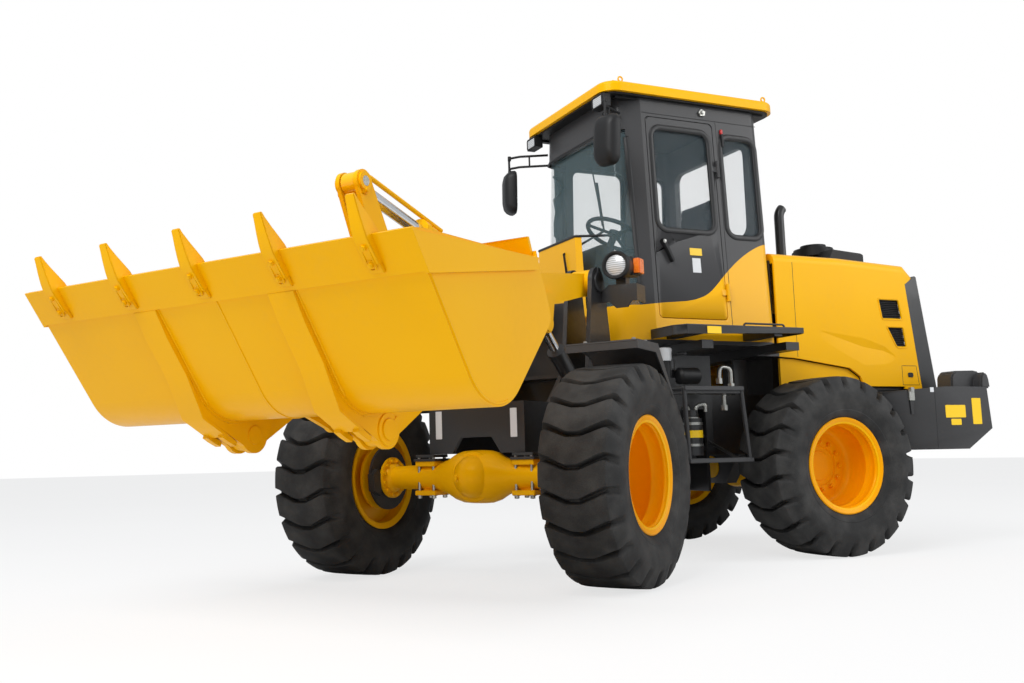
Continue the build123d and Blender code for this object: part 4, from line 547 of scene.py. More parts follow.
def ring_tree():
    """Copies of a shape turned round the Y axis, welded into one ring."""
    tree, given, out, points, place, index, share, turn, spin, real, weld, finish = growth(
        "ring_of_pitches", [("Count", "Int"), ("Finish", "Material")],
        ("GeometryNodePoints", "GeometryNodeInstanceOnPoints", "GeometryNodeInputIndex", "ShaderNodeMath",
         "ShaderNodeMath", "ShaderNodeCombineXYZ", "GeometryNodeRealizeInstances",
         "GeometryNodeMergeByDistance", "GeometryNodeSetMaterial"))
    share.operation = "DIVIDE"
    turn.operation = "MULTIPLY"
    turn.inputs[1].default_value = 2 * pi
    weld.inputs["Distance"].default_value = 0.02
    wire(tree, (given.outputs["Count"], points.inputs["Count"]), (points.outputs[0], place.inputs["Points"]),
         (given.outputs["Geometry"], place.inputs["Instance"]), (index.outputs[0], share.inputs[0]),
         (given.outputs["Count"], share.inputs[1]), (share.outputs[0], turn.inputs[0]),
         (turn.outputs[0], spin.inputs["Y"]), (spin.outputs[0], place.inputs["Rotation"]),
         (place.outputs[0], real.inputs[0]), (real.outputs[0], weld.inputs[0]),
         (weld.outputs[0], finish.inputs["Geometry"]), (given.outputs["Finish"], finish.inputs["Material"]),
         (finish.outputs[0], out.inputs[0]))
    return tree


ring_of_pitches = ring_tree()
LUG_COUNT = 22
TREAD_HALF = 205.0
GROOVE_FLOOR = 0.62
# y and radius of the lug's crown, then of the groove's floor, from the middle of the tread to the bead
tyre_rows = [((0, 537), (0, 506)), ((26, 537), (26, 506)), ((34, 537), (34, 497)), ((72, 536.5), (72, 495)),
             ((105, 536), (105, 493)), ((135, 535), (135, 491)), ((155, 533.5), (152, 489)),
             ((166, 529), (161, 486)), ((172, 520), (166, 482)), ((184, 494), (177, 472)),
             ((195, 466), (190, 456)), ((198, 458), (197, 450)), ((202.5, 440), (202, 438))]
tyre_rows += [(row, row) for row in (
    (204.6, 415), (203.5, 392), (201.5, 387), (197, 360), (189, 334), (190, 330), (186, 317), (176, 301),
    (165, 291), (157.5, 284), (150, 266))]
# share of the half width, then the groove's middle and half width in shares of a pitch
groove_line = [(0.0, 0.195, 0.072), (0.2, 0.185, 0.074), (0.42, 0.06, 0.085), (0.62, -0.08, 0.09),
               (0.76, -0.125, 0.1), (0.88, -0.09, 0.14), (1.0, -0.02, 0.2), (1.1, 0.0, 0.23)]


def groove_at(share):
    """Middle and half width of the groove at this share of the half width."""
    for (s0, m0, w0), (s1, m1, w1) in zip(groove_line, groove_line[1:]):
        if share <= s1:
            t = (share - s0) / (s1 - s0)
            t = t * t * (3 - 2 * t)
            return m0 + (m1 - m0) * t, w0 + (w1 - w0) * t
    return groove_line[-1][1:]


def tyre_pitch():
    """One pitch of the tyre: a closed strip of its section from groove to groove."""
    pitch = Shape()
    grid = []
    for hand, (crown, floor) in [(1, row) for row in tyre_rows[::-1]] + [(-1, row) for row in tyre_rows[1:]]:
        middle, half = groove_at(min(crown[0] / TREAD_HALF, 1.1))
        low = half * GROOVE_FLOOR
        # one flank of the groove; the ends of a pitch meet the next one at the lug's middle
        flank = [(low * 0.5, 0), (low, 0.05), (half + 0.008, 0.9), (half + 0.03, 1), (half + 0.16, 1),
                 (0.5, 1)]
        line = []
        for shift, lift in [(-shift, lift) for shift, lift in flank[::-1]] + flank:
            turn = (middle + shift) * 2 * pi / LUG_COUNT
            y = floor[0] + (crown[0] - floor[0]) * lift
            radius = floor[1] + (crown[1] - floor[1]) * lift
            line.append(pitch.bm.verts.new((radius * sin(turn), hand * y, radius * cos(turn))))
        grid.append(line)
    for first, second in zip(grid, grid[1:] + grid[:1]):
        for i in range(len(first) - 1):
            pitch.bm.faces.new((first[i], first[i + 1], second[i + 1], second[i]))
    return pitch


# the rolled rim: its dish from the outer flange in to the disc, and the lock ring's groove
rim_profile = [(-70, 0), (-64, 40), (-64, 88), (-69.4, 92), (-69.4, 118), (-58, 124), (-56, 166), (-66, 186),
               (-69.4, 208), (-64, 226), (-50, 238), (-20, 244), (60, 246), (66, 242), (74, 242), (80, 247),
               (128, 248.5), (134, 245), (141, 245), (147, 250), (158, 256), (166, 268), (169, 281),
               (165, 287), (160, 286), (157.6, 282), (157, 262)]
NUT_RING_TOP = (0, 0, 145.0)
NUT_COUNT = 12


def wheel_nut():
    """A hexagon nut on its stud, pointing out along +Y at the nut ring's top."""
    return Shape().lathe([(-60, 17), (-56.5, 17), (-56.5, 0)], NUT_RING_TOP, steps=16).lathe(
        [(-57, 14.5), (-40, 14.5), (-38, 12.5), (-38, 0)], NUT_RING_TOP, steps=6).lathe(
        [(-39, 7), (-31, 7), (-30, 0)], NUT_RING_TOP, steps=8)


for corner in ("front_left", "front_right", "rear_left", "rear_right"):
    node = "tyre_" + corner
    body = next(name for name, nodes in frame["record"]["behaviour"]["bodies"].items() if node in nodes)
    box_low, box_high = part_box(node)
    wheel = Matrix.Translation((box_low + box_high) / 2) @ (
        STEERED if corner.startswith("front") else Matrix()) @ MILLIMETRE
    outward = wheel @ Matrix.Rotation(0 if corner.endswith("left") else pi, 4, "Z")
    tread = grown(tyre_pitch(), ring_of_pitches, Count=LUG_COUNT, Finish=rubber.material)
    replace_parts(settle("tyre_tread_" + corner, tread, rubber, body, 30, wheel), node)
    keep("rim_dish_" + corner, Shape().lathe(rim_profile, steps=96), rim_paint, body, sharp=40, place=outward)
    nuts = grown(wheel_nut(), ring_of_pitches, Count=NUT_COUNT, Finish=rim_paint.material)
    settle("rim_nuts_" + corner, nuts, rim_paint, body, place=outward)

# ---- bolts --------------------------------------------------------------------------------
# Plated hexagon bolts on flat washers hold the plates, lamps and guards; they stand on the points of a seed
# mesh, each turned to face the way its point is aimed.


def bolt_tree():
    """A hexagon head on a washer at each point, aimed by the point's own direction."""
    tree, given, out, parts, aim, face, place, real, finish = growth(
        "bolts_on_points", [("Across", "Float"), ("Finish", "Material")],
        ("GeometryNodeJoinGeometry", "GeometryNodeInputNamedAttribute", "FunctionNodeAlignRotationToVector",
         "GeometryNodeInstanceOnPoints", "GeometryNodeRealizeInstances", "GeometryNodeSetMaterial"))

    def share_of_across(share, end):
        """Feed this share of the head's width to a node's input."""
        size = tree.nodes.new("ShaderNodeMath")
        size.operation = "MULTIPLY"
        size.inputs[1].default_value = share
        wire(tree, (given.outputs["Across"], size.inputs[0]), (size.outputs[0], end))

    # the head, the washer and the boss on the head
    for sides, radius, depth, lift in ((6, 0.577, 0.62, 0.45), (18, 0.86, 0.14, 0.07), (10, 0.33, 0.1, 0.78)):
        solid, shift, away = [tree.nodes.new(kind) for kind in (
            "GeometryNodeMeshCylinder", "GeometryNodeTransform", "ShaderNodeCombineXYZ")]
        solid.inputs["Vertices"].default_value = sides
        share_of_across(radius, solid.inputs["Radius"])
        share_of_across(depth, solid.inputs["Depth"])
        share_of_across(lift, away.inputs["Z"])
        wire(tree, (away.outputs[0], shift.inputs["Translation"]), (solid.outputs["Mesh"], shift.inputs[0]),
             (shift.outputs[0], parts.inputs[0]))
    aim.data_type = "FLOAT_VECTOR"
    aim.inputs["Name"].default_value = "aim"
    face.axis = "Z"
    wire(tree, (given.outputs["Geometry"], place.inputs["Points"]),
         (parts.outputs[0], place.inputs["Instance"]),
         (aim.outputs["Attribute"], face.inputs["Vector"]), (face.outputs[0], place.inputs["Rotation"]),
         (place.outputs[0], real.inputs[0]), (real.outputs[0], finish.inputs["Geometry"]),
         (given.outputs["Finish"], finish.inputs["Material"]), (finish.outputs[0], out.inputs[0]))
    return tree


bolts_on_points = bolt_tree()


def bolts(name, spots, across, finish, body):
    """Bolts at these (point, direction) pairs, in millimetres."""
    seed = Shape()
    aim = seed.bm.verts.layers.float_vector.new("aim")
    for point, direction in spots:
        seed.bm.verts.new(point)[aim] = direction
    settle(name, grown(seed, bolts_on_points, Across=across, Finish=finish.material), finish, body)


# ---- bucket -------------------------------------------------------------------------------
# Welded from plate: a rolled shell, end plates with side cutters, wear straps under the floor and a cutting
# edge that carries five bolt-on teeth. The weld beads are left as laid and painted over.
BUCKET_ROLL = radians(54)
bucket_pin = Vector(joints["bucket_tilt"]["pos_m"])
home["bucket"] = (Matrix.Translation(bucket_pin) @ STEERED @ Matrix.Rotation(-BUCKET_ROLL, 4, "Y")
                  @ MILLIMETRE)
EDGE_LOW, EDGE_TOP = -167.0, -141.0
TOOTH_Y = (-810, -405, 0, 405, 810)
TOOTH_HALF, SHANK_HALF = 30.0, 28.0
# forged point: broad at the edge, hollow-ground above and narrowing to a blunt chisel
point_rows = [(778, -189, -120, 1.0), (830, -193, -113, 1.0), (880, -196, -117, 0.97), (920, -189, -127, 0.9),
              (960, -179, -137, 0.8), (1000, -167, -145, 0.7), (1024, -160, -148, 0.66)]
teeth, slots = Shape(), Shape()
for y in TOOTH_Y:
    teeth.skin([[(x, y + side * TOOTH_HALF * share, z) for side, z in
                 ((-1, low), (1, low), (0.86, top), (-0.86, top))] for x, low, top, share in point_rows])
    # shanks under and over the edge
    teeth.prism([(739, EDGE_LOW), (744, EDGE_LOW - 12), (800, EDGE_LOW - 20), (800, EDGE_LOW)],
                y - SHANK_HALF, y + SHANK_HALF)
    teeth.prism([(724, EDGE_TOP), (730, EDGE_TOP + 14), (790, EDGE_TOP + 22), (790, EDGE_TOP)],
                y - SHANK_HALF, y + SHANK_HALF)
    slots.sweep([(a, b, EDGE_LOW - 25.5) for a, b in rounded(762, 872, y - 15, y + 15, 14.5)],
                [(-3, -4), (3, -4), (2, 2), (-2, 2)], closed=True, up=(0, 0, -1))
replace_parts(keep("tooth_points", teeth, yellow_paint, "bucket", bevel=2.5), "bucket_teeth")
keep("tooth_slot_rims", slots, yellow_paint, "bucket")
bolts("tooth_bolts", [((x, y, EDGE_LOW - 23), (0, 0, -1)) for y in TOOTH_Y for x in (784, 848)], 20,
      yellow_paint, "bucket")
bolts("tooth_nuts", [((x, y, EDGE_TOP + 18), (0, 0, 1)) for y in TOOTH_Y for x in (750, 776)], 18,
      yellow_paint, "bucket")
HEEL_X, HEEL_Z, HEEL_RADIUS = 307, 78, 235
END_PLATE_Y = 986


def shell_line(y, rise, last=-165):
    """Points along the floor from the cutting edge and on round the heel, this far outside the plate."""
    turn = [radians(-90 + (last + 90) * i / 14) for i in range(15)]
    reach = HEEL_RADIUS + rise
    return [(718, y, -157 - rise), (520, y, -157 - rise)] + [
        (HEEL_X + reach * cos(a), y, HEEL_Z + reach * sin(a)) for a in turn]


welds = Shape().bead(shell_line(30, 0, -175), 4)
straps, pins = Shape(), Shape()
for hand in (1, -1):
    for y in (291, 424):
        welds.bead(shell_line(hand * y, 0, -100), 5)
    welds.bead(shell_line(hand * END_PLATE_Y, -12), 4.5)
    welds.bead([(700, hand * (END_PLATE_Y + 1), -140), (395, hand * (END_PLATE_Y + 1), 508)], 3.5)
    straps.prism([(721, -168), (420, -169), (232, -195), (96, -130), (90, -141), (230, -208), (422, -181),
                  (600, -180), (721, -169)], *sorted((hand * 296, hand * 419)))
    for y in (312, 402):
        straps.prism([(118, -141), (80, -123), (40, -104), (30, -122), (70, -146), (104, -162)],
                     hand * y - 15, hand * y + 15)
    for radius, face, out in ((66, 415, 421), (44, 421, 428)):
        pins.lathe([(hand * face, 0), (hand * face, radius), (hand * (out - 1.5), radius),
                    (hand * out, radius - 2), (hand * out, 0)], steps=40)
    pins.prism([(-12, 46), (12, 46), (12, 74), (-12, 74)], hand * 415, hand * 423)
keep("bucket_strap_boxes", straps, yellow_paint, "bucket", bevel=2.5)
keep("bucket_weld_beads", welds, yellow_paint, "bucket")
keep("bucket_pin_caps", pins, yellow_paint, "bucket")

# ---- cab body -----------------------------------------------------------------------------
# The cab is a welded steel shell sprayed in two tones: charcoal above, yellow below, along a masked line
# that sweeps up from the windscreen's foot to the rear corner. Rubber seals hold the panes.
CAB_Z0 = 1290.0
CAB_HALF0 = 568.0
CAB_LEAN = 72.0 / 1560.0
SCUTTLE_X, SCUTTLE_TOP = pivot.x - 0.16, 2.02
SILL_Z = 1.315
LINE_RUN, LINE_SCALE = 1.2, 2.0
# share of the run from behind the pin to the pin, then the line's height in shares of its scale
mask_line = [(0.0, 0.9933), (0.03, 0.983), (0.107, 0.97), (0.178, 0.9495), (0.248, 0.9225), (0.312, 0.8915),
             (0.368, 0.8605), (0.418, 0.8305), (0.473, 0.804), (0.526, 0.79), (0.589, 0.7805), (0.651, 0.776),
             (0.743, 0.771), (0.822, 0.766), (1.0, 0.762)]


def wall_y(z):
    """Half width of the cab's side walls at this height."""
    return CAB_HALF0 - (z - CAB_Z0) * CAB_LEAN


two_tone = Finish("cab_two_tone_enamel", "black_paint", coat_weight=0.1, coat_roughness=0.12,
                  specular_ior_level=0.25)
cab_x, _, cab_z = two_tone.axes()
along_cab = (cab_x - (pivot.x - LINE_RUN)) / LINE_RUN
line_height = two_tone.node("ShaderNodeFloatCurve", {"curve": mask_line}, {"Value": along_cab.clamped()})
scuttle = (cab_x > SCUTTLE_X) * ((cab_z * -1.0) > -SCUTTLE_TOP)
below = ((line_height * LINE_SCALE > cab_z) + scuttle).clamped() * (cab_z > SILL_Z)
speckle = two_tone.noise(300.0, 3.0)
upper = two_tone.mix(two_tone.noise(2.0), CHARCOAL, (55, 55, 56))
lower = two_tone.mix(two_tone.noise(1.7, 3.0), YELLOW, YELLOW_SHADE)
two_tone.feed(base_color=two_tone.mix(below, upper, lower), roughness=two_tone.ramp(speckle, 0.34, 0.42),
              normal=two_tone.bump(two_tone.noise(420.0), 0.0002, two_tone.eased(0.0025)))
dress("cab_shell", two_tone)
dress("cab_roof", yellow_paint)


def seal(shape, pane, hand):
    """A rubber seal round a window of the side wall."""
    rings = []
    for (px, pz), (ox, oz) in zip(rounded(*pane, SEAL_CORNER), rounded(*pane, SEAL_CORNER, outward=True)):
        rings.append([(px + ox * out, hand * (wall_y(pz + oz * out) + rise), pz + oz * out)
                      for out, rise in SEAL_SECTION])
    return shape.skin(rings, closed=True)


# the section is (outwards in the wall, off the wall); the panes are x and z of their corners
SEAL_SECTION = [(-16, -16), (-17, 0), (-12, 5), (-5, 7), (3, 8), (11, 7), (17, 4), (19, 0.2), (10, -4),
                (0, -16)]
SEAL_CORNER = 70
DOOR_GLASS = (-735, -300, 2000, 2660)
REAR_GLASS = (-1096, -825, 1985, 2650)
shell_seals = seal(seal(seal(Shape(), REAR_GLASS, 1), REAR_GLASS, -1), DOOR_GLASS, -1)
keep("cab_window_seals", shell_seals, seal_rubber, "chassis")
keep("door_window_seal", seal(Shape(), DOOR_GLASS, 1), seal_rubber, "cab_door")

# ---- windscreen seal and wiper ------------------------------------------------------------
# The windscreen wraps round the nose of the cab in one bent pane. A broad rubber seal holds it, and one wiper
# is hung from the header.
shell_mesh = frame["nodes"]["cab_shell"].data
nose = BVHTree.FromPolygons([v.co.copy() for v in shell_mesh.vertices],
                            [list(p.vertices) for p in shell_mesh.polygons])
PROBE_X = 400
SCREEN_CORNERS = [Vector(corner) for corner in ((-520, 1530), (520, 1530), (455, 2640), (-455, 2640))]
CORNER_REACH = 60


def nose_point(y, z, out):
    """The point this far off the cab's front at this side place and height, in millimetres."""
    for step in range(12):
        probe = REAR @ Vector((PROBE_X, y + (1 if y > 0 else -1) * step * 3, z))
        hit, normal, _, _ = nose.ray_cast(probe, Vector((-1, 0, 0)), 0.8)
        if hit and hit.x > pivot.x - 0.24:
            return REAR.inverted() @ (hit + normal * out * 0.001)
    return Vector((PROBE_X - 600, y, z))


def screen_edge():
    """The windscreen opening's edge: straight sides, with rounded corners at the foot and the head."""
    path = []
    for i, corner in enumerate(SCREEN_CORNERS):
        before, after = SCREEN_CORNERS[i - 1], SCREEN_CORNERS[(i + 1) % 4]
        share = CORNER_REACH / (after - corner).length
        start, end = corner.lerp(after, share), after.lerp(corner, share)
        path += [corner.lerp(before, CORNER_REACH / (before - corner).length),
                 corner.lerp((before + after) / 2, 0.018), start]
        path += [start.lerp(end, step / 12) for step in range(1, 12)]
    return path


screen = [nose_point(p.x, p.y, 2) for p in screen_edge()]
screen_middle = Vector((-420, 0, 2085))
keep("windscreen_seal", Shape().sweep(screen, [(-16, -8), (-16, 3), (-8, 8), (8, 8), (16, 3), (16, -8)],
                                      closed=True, up=[(p - screen_middle).normalized() for p in screen]),
     seal_rubber, "chassis")
arm_foot = nose_point(-60, 2600, 26)
wiper = Shape().pipe([arm_foot + Vector((0, 0, 40)), arm_foot, nose_point(20, 2300, 26),
                      nose_point(60, 2120, 18)], 5, 40, 8)
wiper.sweep([nose_point(y, z, 12) for y, z in ((10, 2420), (40, 2250), (75, 2080), (110, 1900), (140, 1760))],
            [(-4, -9), (4, -9), (2, 6), (-2, 6)], up=(1, 0, 0.1))
wiper.lathe([(0, 0), (0, 22), (24, 22), (30, 16), (30, 0)], arm_foot - Vector((20, 0, -40)), "X", 20)
keep("windscreen_wiper", wiper, plastic, "chassis")

# ---- cab lamps, roof lining and mirrors ---------------------------------------------------
# Work lamps with pressed reflectors hang under the roof's front edge, which is lined in black. A mirror hangs
# at each front corner on two bent tubes.
lens = Finish("lamp_lens", "chrome", metallic=0.25, coat_weight=0.8, coat_roughness=0.05)
flute = lens.node("ShaderNodeTexWave", {"wave_type": "BANDS", "bands_direction": "Z"},
                  {"Vector": lens.place(), "Scale": 26.0, "Distortion": 1.2}, 1)
lens.feed(base_color=lens.mix(flute, (176, 178, 178), (216, 218, 220)),
          roughness=lens.ramp(flute, 0.22, 0.34, 0.0, 1.0), normal=lens.bump(flute, 0.00012))
lining = Shape().prism(rounded(-1256, 16, -525, 525, 88), 2836, 2849.6, "Z")
reflectors, bezels = Shape(), Shape()
for hand in (-1, 1):
    lining.slab(-1200, -60, hand * 470 - 20, hand * 470 + 20, 2824, 2836.5)
    y = hand * 440
    reflectors.plate(y - 50, y + 50, 2770, 2826, 10, 34, 38.5, "X")
    bezels.sweep([(37, a, b) for a, b in rounded(y - 55, y + 55, 2764, 2832, 12)],
                 [(-4, -5), (4, -5), (4, 4), (0, 6), (-4, 4)], closed=True, up=(1, 0, 0))
keep("cab_roof_lining", lining, plastic, "chassis", bevel=2.0)
keep("work_lamp_lenses", reflectors, lens, "chassis", bevel=1.5)
keep("work_lamp_bezels", bezels, plastic, "chassis")

shells, mirror_glass, clamps = Shape(), Shape(), Shape()
MIRROR_X, MIRROR_Y = 112, 642
for hand in (1, -1):
    turn = (Matrix.Translation((MIRROR_X, hand * MIRROR_Y, 2488))
            @ Matrix.Rotation(radians(hand * 14), 4, "Z") @ Matrix.Rotation(radians(-4), 4, "X"))
    for shape, rows in (
            (shells, [(-34, 1.0), (-26, 1.03), (-6, 1.02), (18, 0.95), (36, 0.82), (46, 0.6), (49, 0.3)]),
            (mirror_glass, [(-36.5, 0.9), (-34.5, 0.91)])):
        shape.skin([[turn @ Vector((deep, a, b)) for a, b in
                     rounded(-84 * share, 84 * share, -150 * share, 150 * share, 52 * share)]
                    for deep, share in rows])
    for z in (2660, 2735):
        shells.pipe([(-105, hand * 462, z), (70, hand * 560, z), (MIRROR_X, hand * 618, z),
                     (MIRROR_X, hand * MIRROR_Y, z)], 8)
    shells.pipe([(MIRROR_X, hand * MIRROR_Y, 2745), (MIRROR_X, hand * MIRROR_Y, 2600)], 8, 20)
    shells.pipe([(10, hand * 527, 2660), (10, hand * 527, 2735)], 6, 20, 10)
    for z in (2636, 2738):
        clamps.lathe([(-16, 0), (-16, 12), (16, 12), (16, 0)], (110, hand * 640, z), "Z", 20)
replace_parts(keep("mirror_shells", shells, plastic, "chassis", sharp=50), "mirrors")
keep("mirror_glasses", mirror_glass, chrome, "chassis", bevel=0.4)
keep("mirror_bracket_clamps", clamps, plastic, "chassis", bevel=1.0)

# ---- door fittings ------------------------------------------------------------------------
# The door carries blank service plates, a slanted handle and a lock; a red release and a catch that holds the
# open door are on the wall behind it.
plate_paint = paint("plate_enamel", "yellow_paint", (250, 205, 10), (244, 198, 8), 0.35, 0.0001)
white_paint = paint("white_plate_enamel", "dark_grey_paint", (222, 224, 226), (210, 212, 214), 0.35, 0.0001)
red_paint = paint("release_enamel", "plastic", (200, 22, 20), (180, 16, 14), 0.3, 0.0001)


def wall_plate(x0, x1, z0, z1):
    """A thin plate flat on the left side wall."""
    return Shape().skin([[(x, wall_y(z) + rise, z) for x, z in ((x0, z0), (x1, z0), (x1, z1), (x0, z1))]
                         for rise in (0.2, 1.4)])


def on_wall(shape, outline, z, inner, outer):
    """A block that stands off the side wall as it is at this height."""
    return shape.prism(outline, wall_y(z) + inner, wall_y(z) + outer)


keep("door_plate_yellow", wall_plate(-611, -521, 1848, 1894), plate_paint, "cab_door", bevel=0.3)
keep("door_plate_white", wall_plate(-596, -534, 1739, 1831), white_paint, "cab_door", bevel=0.3)
# the door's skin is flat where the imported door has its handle; the handle follows as its own piece
HANDLE_X, HANDLE_Z, HANDLE_REACH = -345, 1880, 110
door = Shape("door_left")
for vertex in door.bm.verts:
    x, y, z = vertex.co
    if abs(x - HANDLE_X) < HANDLE_REACH and abs(z - HANDLE_Z) < HANDLE_REACH and y > wall_y(z) + 0.5:
        vertex.co.y = wall_y(z)
bmesh.ops.dissolve_degenerate(door.bm, dist=0.01, edges=door.bm.edges)
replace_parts(keep("door_panel", door, two_tone, "cab_door", sharp=30), "door_left")
handle = on_wall(Shape(), [(-298, 1932), (-322, 1944), (-336, 1922), (-352, 1884), (-374, 1838), (-390, 1804),
                           (-372, 1790), (-352, 1826), (-330, 1868), (-310, 1900)], 1870, 6, 34)
on_wall(handle, [(-300, 1925), (-325, 1940), (-338, 1915), (-318, 1900)], 1920, -4, 12)
on_wall(handle, [(-352, 1842), (-366, 1836), (-384, 1800), (-370, 1794)], 1815, -4, 12)
keep("door_handle", handle, plastic, "cab_door", bevel=5.0)
lock = Shape().lathe([(0, 0), (0, 12), (5, 12), (7, 9), (7, 0)], (-316, wall_y(1918) + 34, 1918), steps=24)
keep("door_lock_barrel", lock, zinc, "cab_door")
grip = on_wall(Shape(), [(-848, 2575), (-830, 2575), (-826, 2660), (-844, 2660)], 2610, -2, 16)
keep("door_release_grip", grip, plastic, "chassis", bevel=3.0)
grip_cap = on_wall(Shape(), [(-846, 2661), (-828, 2661), (-829, 2692), (-845, 2692)], 2675, -2, 13)
keep("door_release_cap", grip_cap, red_paint, "chassis", bevel=3.0)
catch = on_wall(Shape(), [(-715, 2772), (-680, 2766), (-668, 2790), (-690, 2812), (-720, 2800)], 2790, -3, 14)
catch.lathe([(0, 0), (0, 15), (22, 13), (24, 8), (24, 0)], (-694, wall_y(2790), 2790), steps=20)
keep("door_hold_back_catch", catch, zinc, "chassis", bevel=2.0)
scuttle_edge = [(-95, -335, 1990), (115, -238, 1990), (115, 238, 1990), (-95, 335, 1990)]
keep("scuttle_rubber_edge", Shape().pipe(scuttle_edge, 8, 16), seal_rubber, "chassis")
seams = Shape()
HEADER_Z = 2745
for hand in (1, -1):
    seams.bead([(x, hand * (wall_y(HEADER_Z) + 0.5), HEADER_Z) for x in (-1120, -240)], 2.2)
    seams.bead([(-800, hand * (wall_y(z) + 0.3), z) for z in (1400, HEADER_Z)], 1.6)
keep("cab_wall_seams", seams, black_paint, "chassis")

# ---- seat ---------------------------------------------------------------------------------
# A suspension seat: a moulded pedestal and shell, two cloth cushions blown up tight over foam and a padded
# rest on each arm.
FLOOR_Z = CAB_Z0 + 45
SEAT_X = -840.0
VOXEL, CUSHION_LIMIT = 0.006, 0.024
PRESSURE = 4.0
FRAMES = 20


def seat_points(*points):
    """Points of the seat, given from its foot on the cab's floor."""
    return [(SEAT_X + point[0],) + point[1:-1] + (FLOOR_Z + point[-1],) for point in points]


pedestal = Shape().prism(seat_points((-180, 0), (180, 0), (140, 330), (-140, 330)), -120, 120)
pedestal.slab(SEAT_X - 200, SEAT_X + 210, -205, 205, FLOOR_Z + 326, FLOOR_Z + 352)
pedestal.prism(seat_points((-212, 352), (-190, 352), (-210, 1000), (-222, 1000)), -180, 180)
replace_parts(keep("seat_shell", pedestal, plastic, "chassis", bevel=6.0), "seat")


def blown_up(pad):
    """Remesh a pad evenly, blow it up as cloth and hold each point near its start."""
    remesh = pad.modifiers.new("remesh", "REMESH")
    remesh.mode = "VOXEL"
    remesh.voxel_size = VOXEL
    blank = worked_out(pad)
    pad.modifiers.remove(remesh)
    pad.data = blank
    start = [v.co.copy() for v in blank.vertices]
    cloth = pad.modifiers.new("cloth", "CLOTH")
    cloth.settings.use_pressure = True
    cloth.settings.uniform_pressure_force = PRESSURE
    cloth.settings.effector_weights.gravity = 0.0
    cloth.point_cache.frame_end = FRAMES
    for number in range(FRAMES):
        bpy.context.scene.frame_set(number + 1)
    blown = worked_out(pad)
    pad.modifiers.remove(cloth)
    bpy.context.scene.frame_set(1)
    for vertex, first in zip(blown.vertices, start):
        move = vertex.co - first
        if move.length > CUSHION_LIMIT:
            vertex.co = first + move.normalized() * CUSHION_LIMIT
    pad.data = blown


def cushion(name, outline, half_width):
    """A foam pad: its block is remeshed, blown up as cloth and smoothed."""
    foam = Shape().prism(outline, -half_width, half_width)
    bmesh.ops.recalc_face_normals(foam.bm, faces=foam.bm.faces)
    bmesh.ops.bevel(foam.bm, geom=foam.bm.edges[:], offset=24, segments=3, affect="EDGES", clamp_overlap=True)
    mesh = foam.mesh(name)
    mesh.transform(REAR)
    pad = new_object(name, mesh)
    blown_up(pad)
    smooth = pad.modifiers.new("smooth", "SUBSURF")
    smooth.levels = smooth.render_levels = 1
    pad.data.polygons.foreach_set("use_smooth", [True] * len(pad.data.polygons))
    pad.data.materials.append(seat_cloth.material)
    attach(pad, "chassis")
    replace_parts(pad, "seat")


cushion("seat_cushion", seat_points((-165, 366), (205, 366), (212, 420), (-165, 408)), 205)
cushion("seat_backrest", seat_points((-180, 470), (-112, 470), (-158, 1030), (-208, 1030)), 190)
arms = Shape()
for hand in (1, -1):
    arms.pipe(seat_points((-190, hand * 215, 560), (-120, hand * 262, 572), (170, hand * 262, 580)),
              24, 50, 16)
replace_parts(keep("seat_arm_rests", arms, plastic, "chassis"), "seat")

# ---- bonnet -------------------------------------------------------------------------------
# The bonnet is pressed sheet with louvred vents. Below its rear edge a yellow skirt and the black corner
# strips run down to the counterweight; a latch door is let into each side.
HOOD_Y = 530
LOUVRE_COUNT = 11
louvres, borders, panel_gaps = Shape(), Shape(), Shape()
for vent in ([(-2050, 1640), (-2235, 1640), (-2262, 1500), (-2075, 1500)],
             [(-2110, 1452), (-2262, 1452), (-2283, 1310), (-2190, 1310)]):
    louvres.prism([(x + (10 if i in (0, 3) else -10), z + (10 if i < 2 else -10))
                   for i, (x, z) in enumerate(vent)], 498, 504)
    corners = [Vector(corner) for corner in vent]
    for i in range(LOUVRE_COUNT):
        share = (i + 0.5) / LOUVRE_COUNT
        front, back = corners[0].lerp(corners[3], share), corners[1].lerp(corners[2], share)
        z = front.y
        louvres.prism([(504, z + 5), (521, z - 3), (521, z - 5), (504, z + 3)], back.x + 1, front.x - 1, "X")
    edge = []
    for i, corner in enumerate(corners):
        for other in (corners[i - 1], corners[(i + 1) % 4]):
            near = corner + (other - corner).normalized() * 10
            edge.append((near.x, HOOD_Y, near.y))
    borders.sweep(edge, [(-4, -2), (-4, 3.5), (3, 3.5), (8, -2)], closed=True, up=(0, 1, 0))
for points in ([(-1330, 1232), (-1330, 1852)],
               [(-2222, 1056), (-2222, 1186), (-2352, 1186), (-2370, 1056), (-2222, 1056)]):
    points = [Vector((x, HOOD_Y + 0.1, z)) for x, z in points]
    path = [a.lerp(b, step / 6) for a, b in zip(points, points[1:]) for step in range(6)] + points[-1:]
    panel_gaps.sweep(path, [(-1.6, -1), (1.6, -1), (1.6, 0.5), (-1.6, 0.5)], up=(0, 1, 0))
latch = Shape().plate(-2318, -2270, 1108, 1140, 12, HOOD_Y, HOOD_Y + 4)
skirt = Shape().prism([(-2240, 1046), (-2292, 1046), (-2292, 1097), (-2384, 1104), (-2396, 1028),
                       (-2238, 1028)], HOOD_Y - 14, HOOD_Y)
strip = Shape().prism([(-2384, 1104), (-2516, 1115), (-2530, 1028), (-2396, 1028)], 500, HOOD_Y)
strip.prism([(-2486, 1112), (-2516, 1115), (-2530, 1028), (-2500, 1028)], 306, 500)
keep("bonnet_louvres", louvres.both_sides(), seal_rubber, "bonnet")
keep("bonnet_vent_borders", borders.both_sides(), yellow_paint, "bonnet")
keep("bonnet_panel_gaps", panel_gaps.both_sides(), plastic, "bonnet")
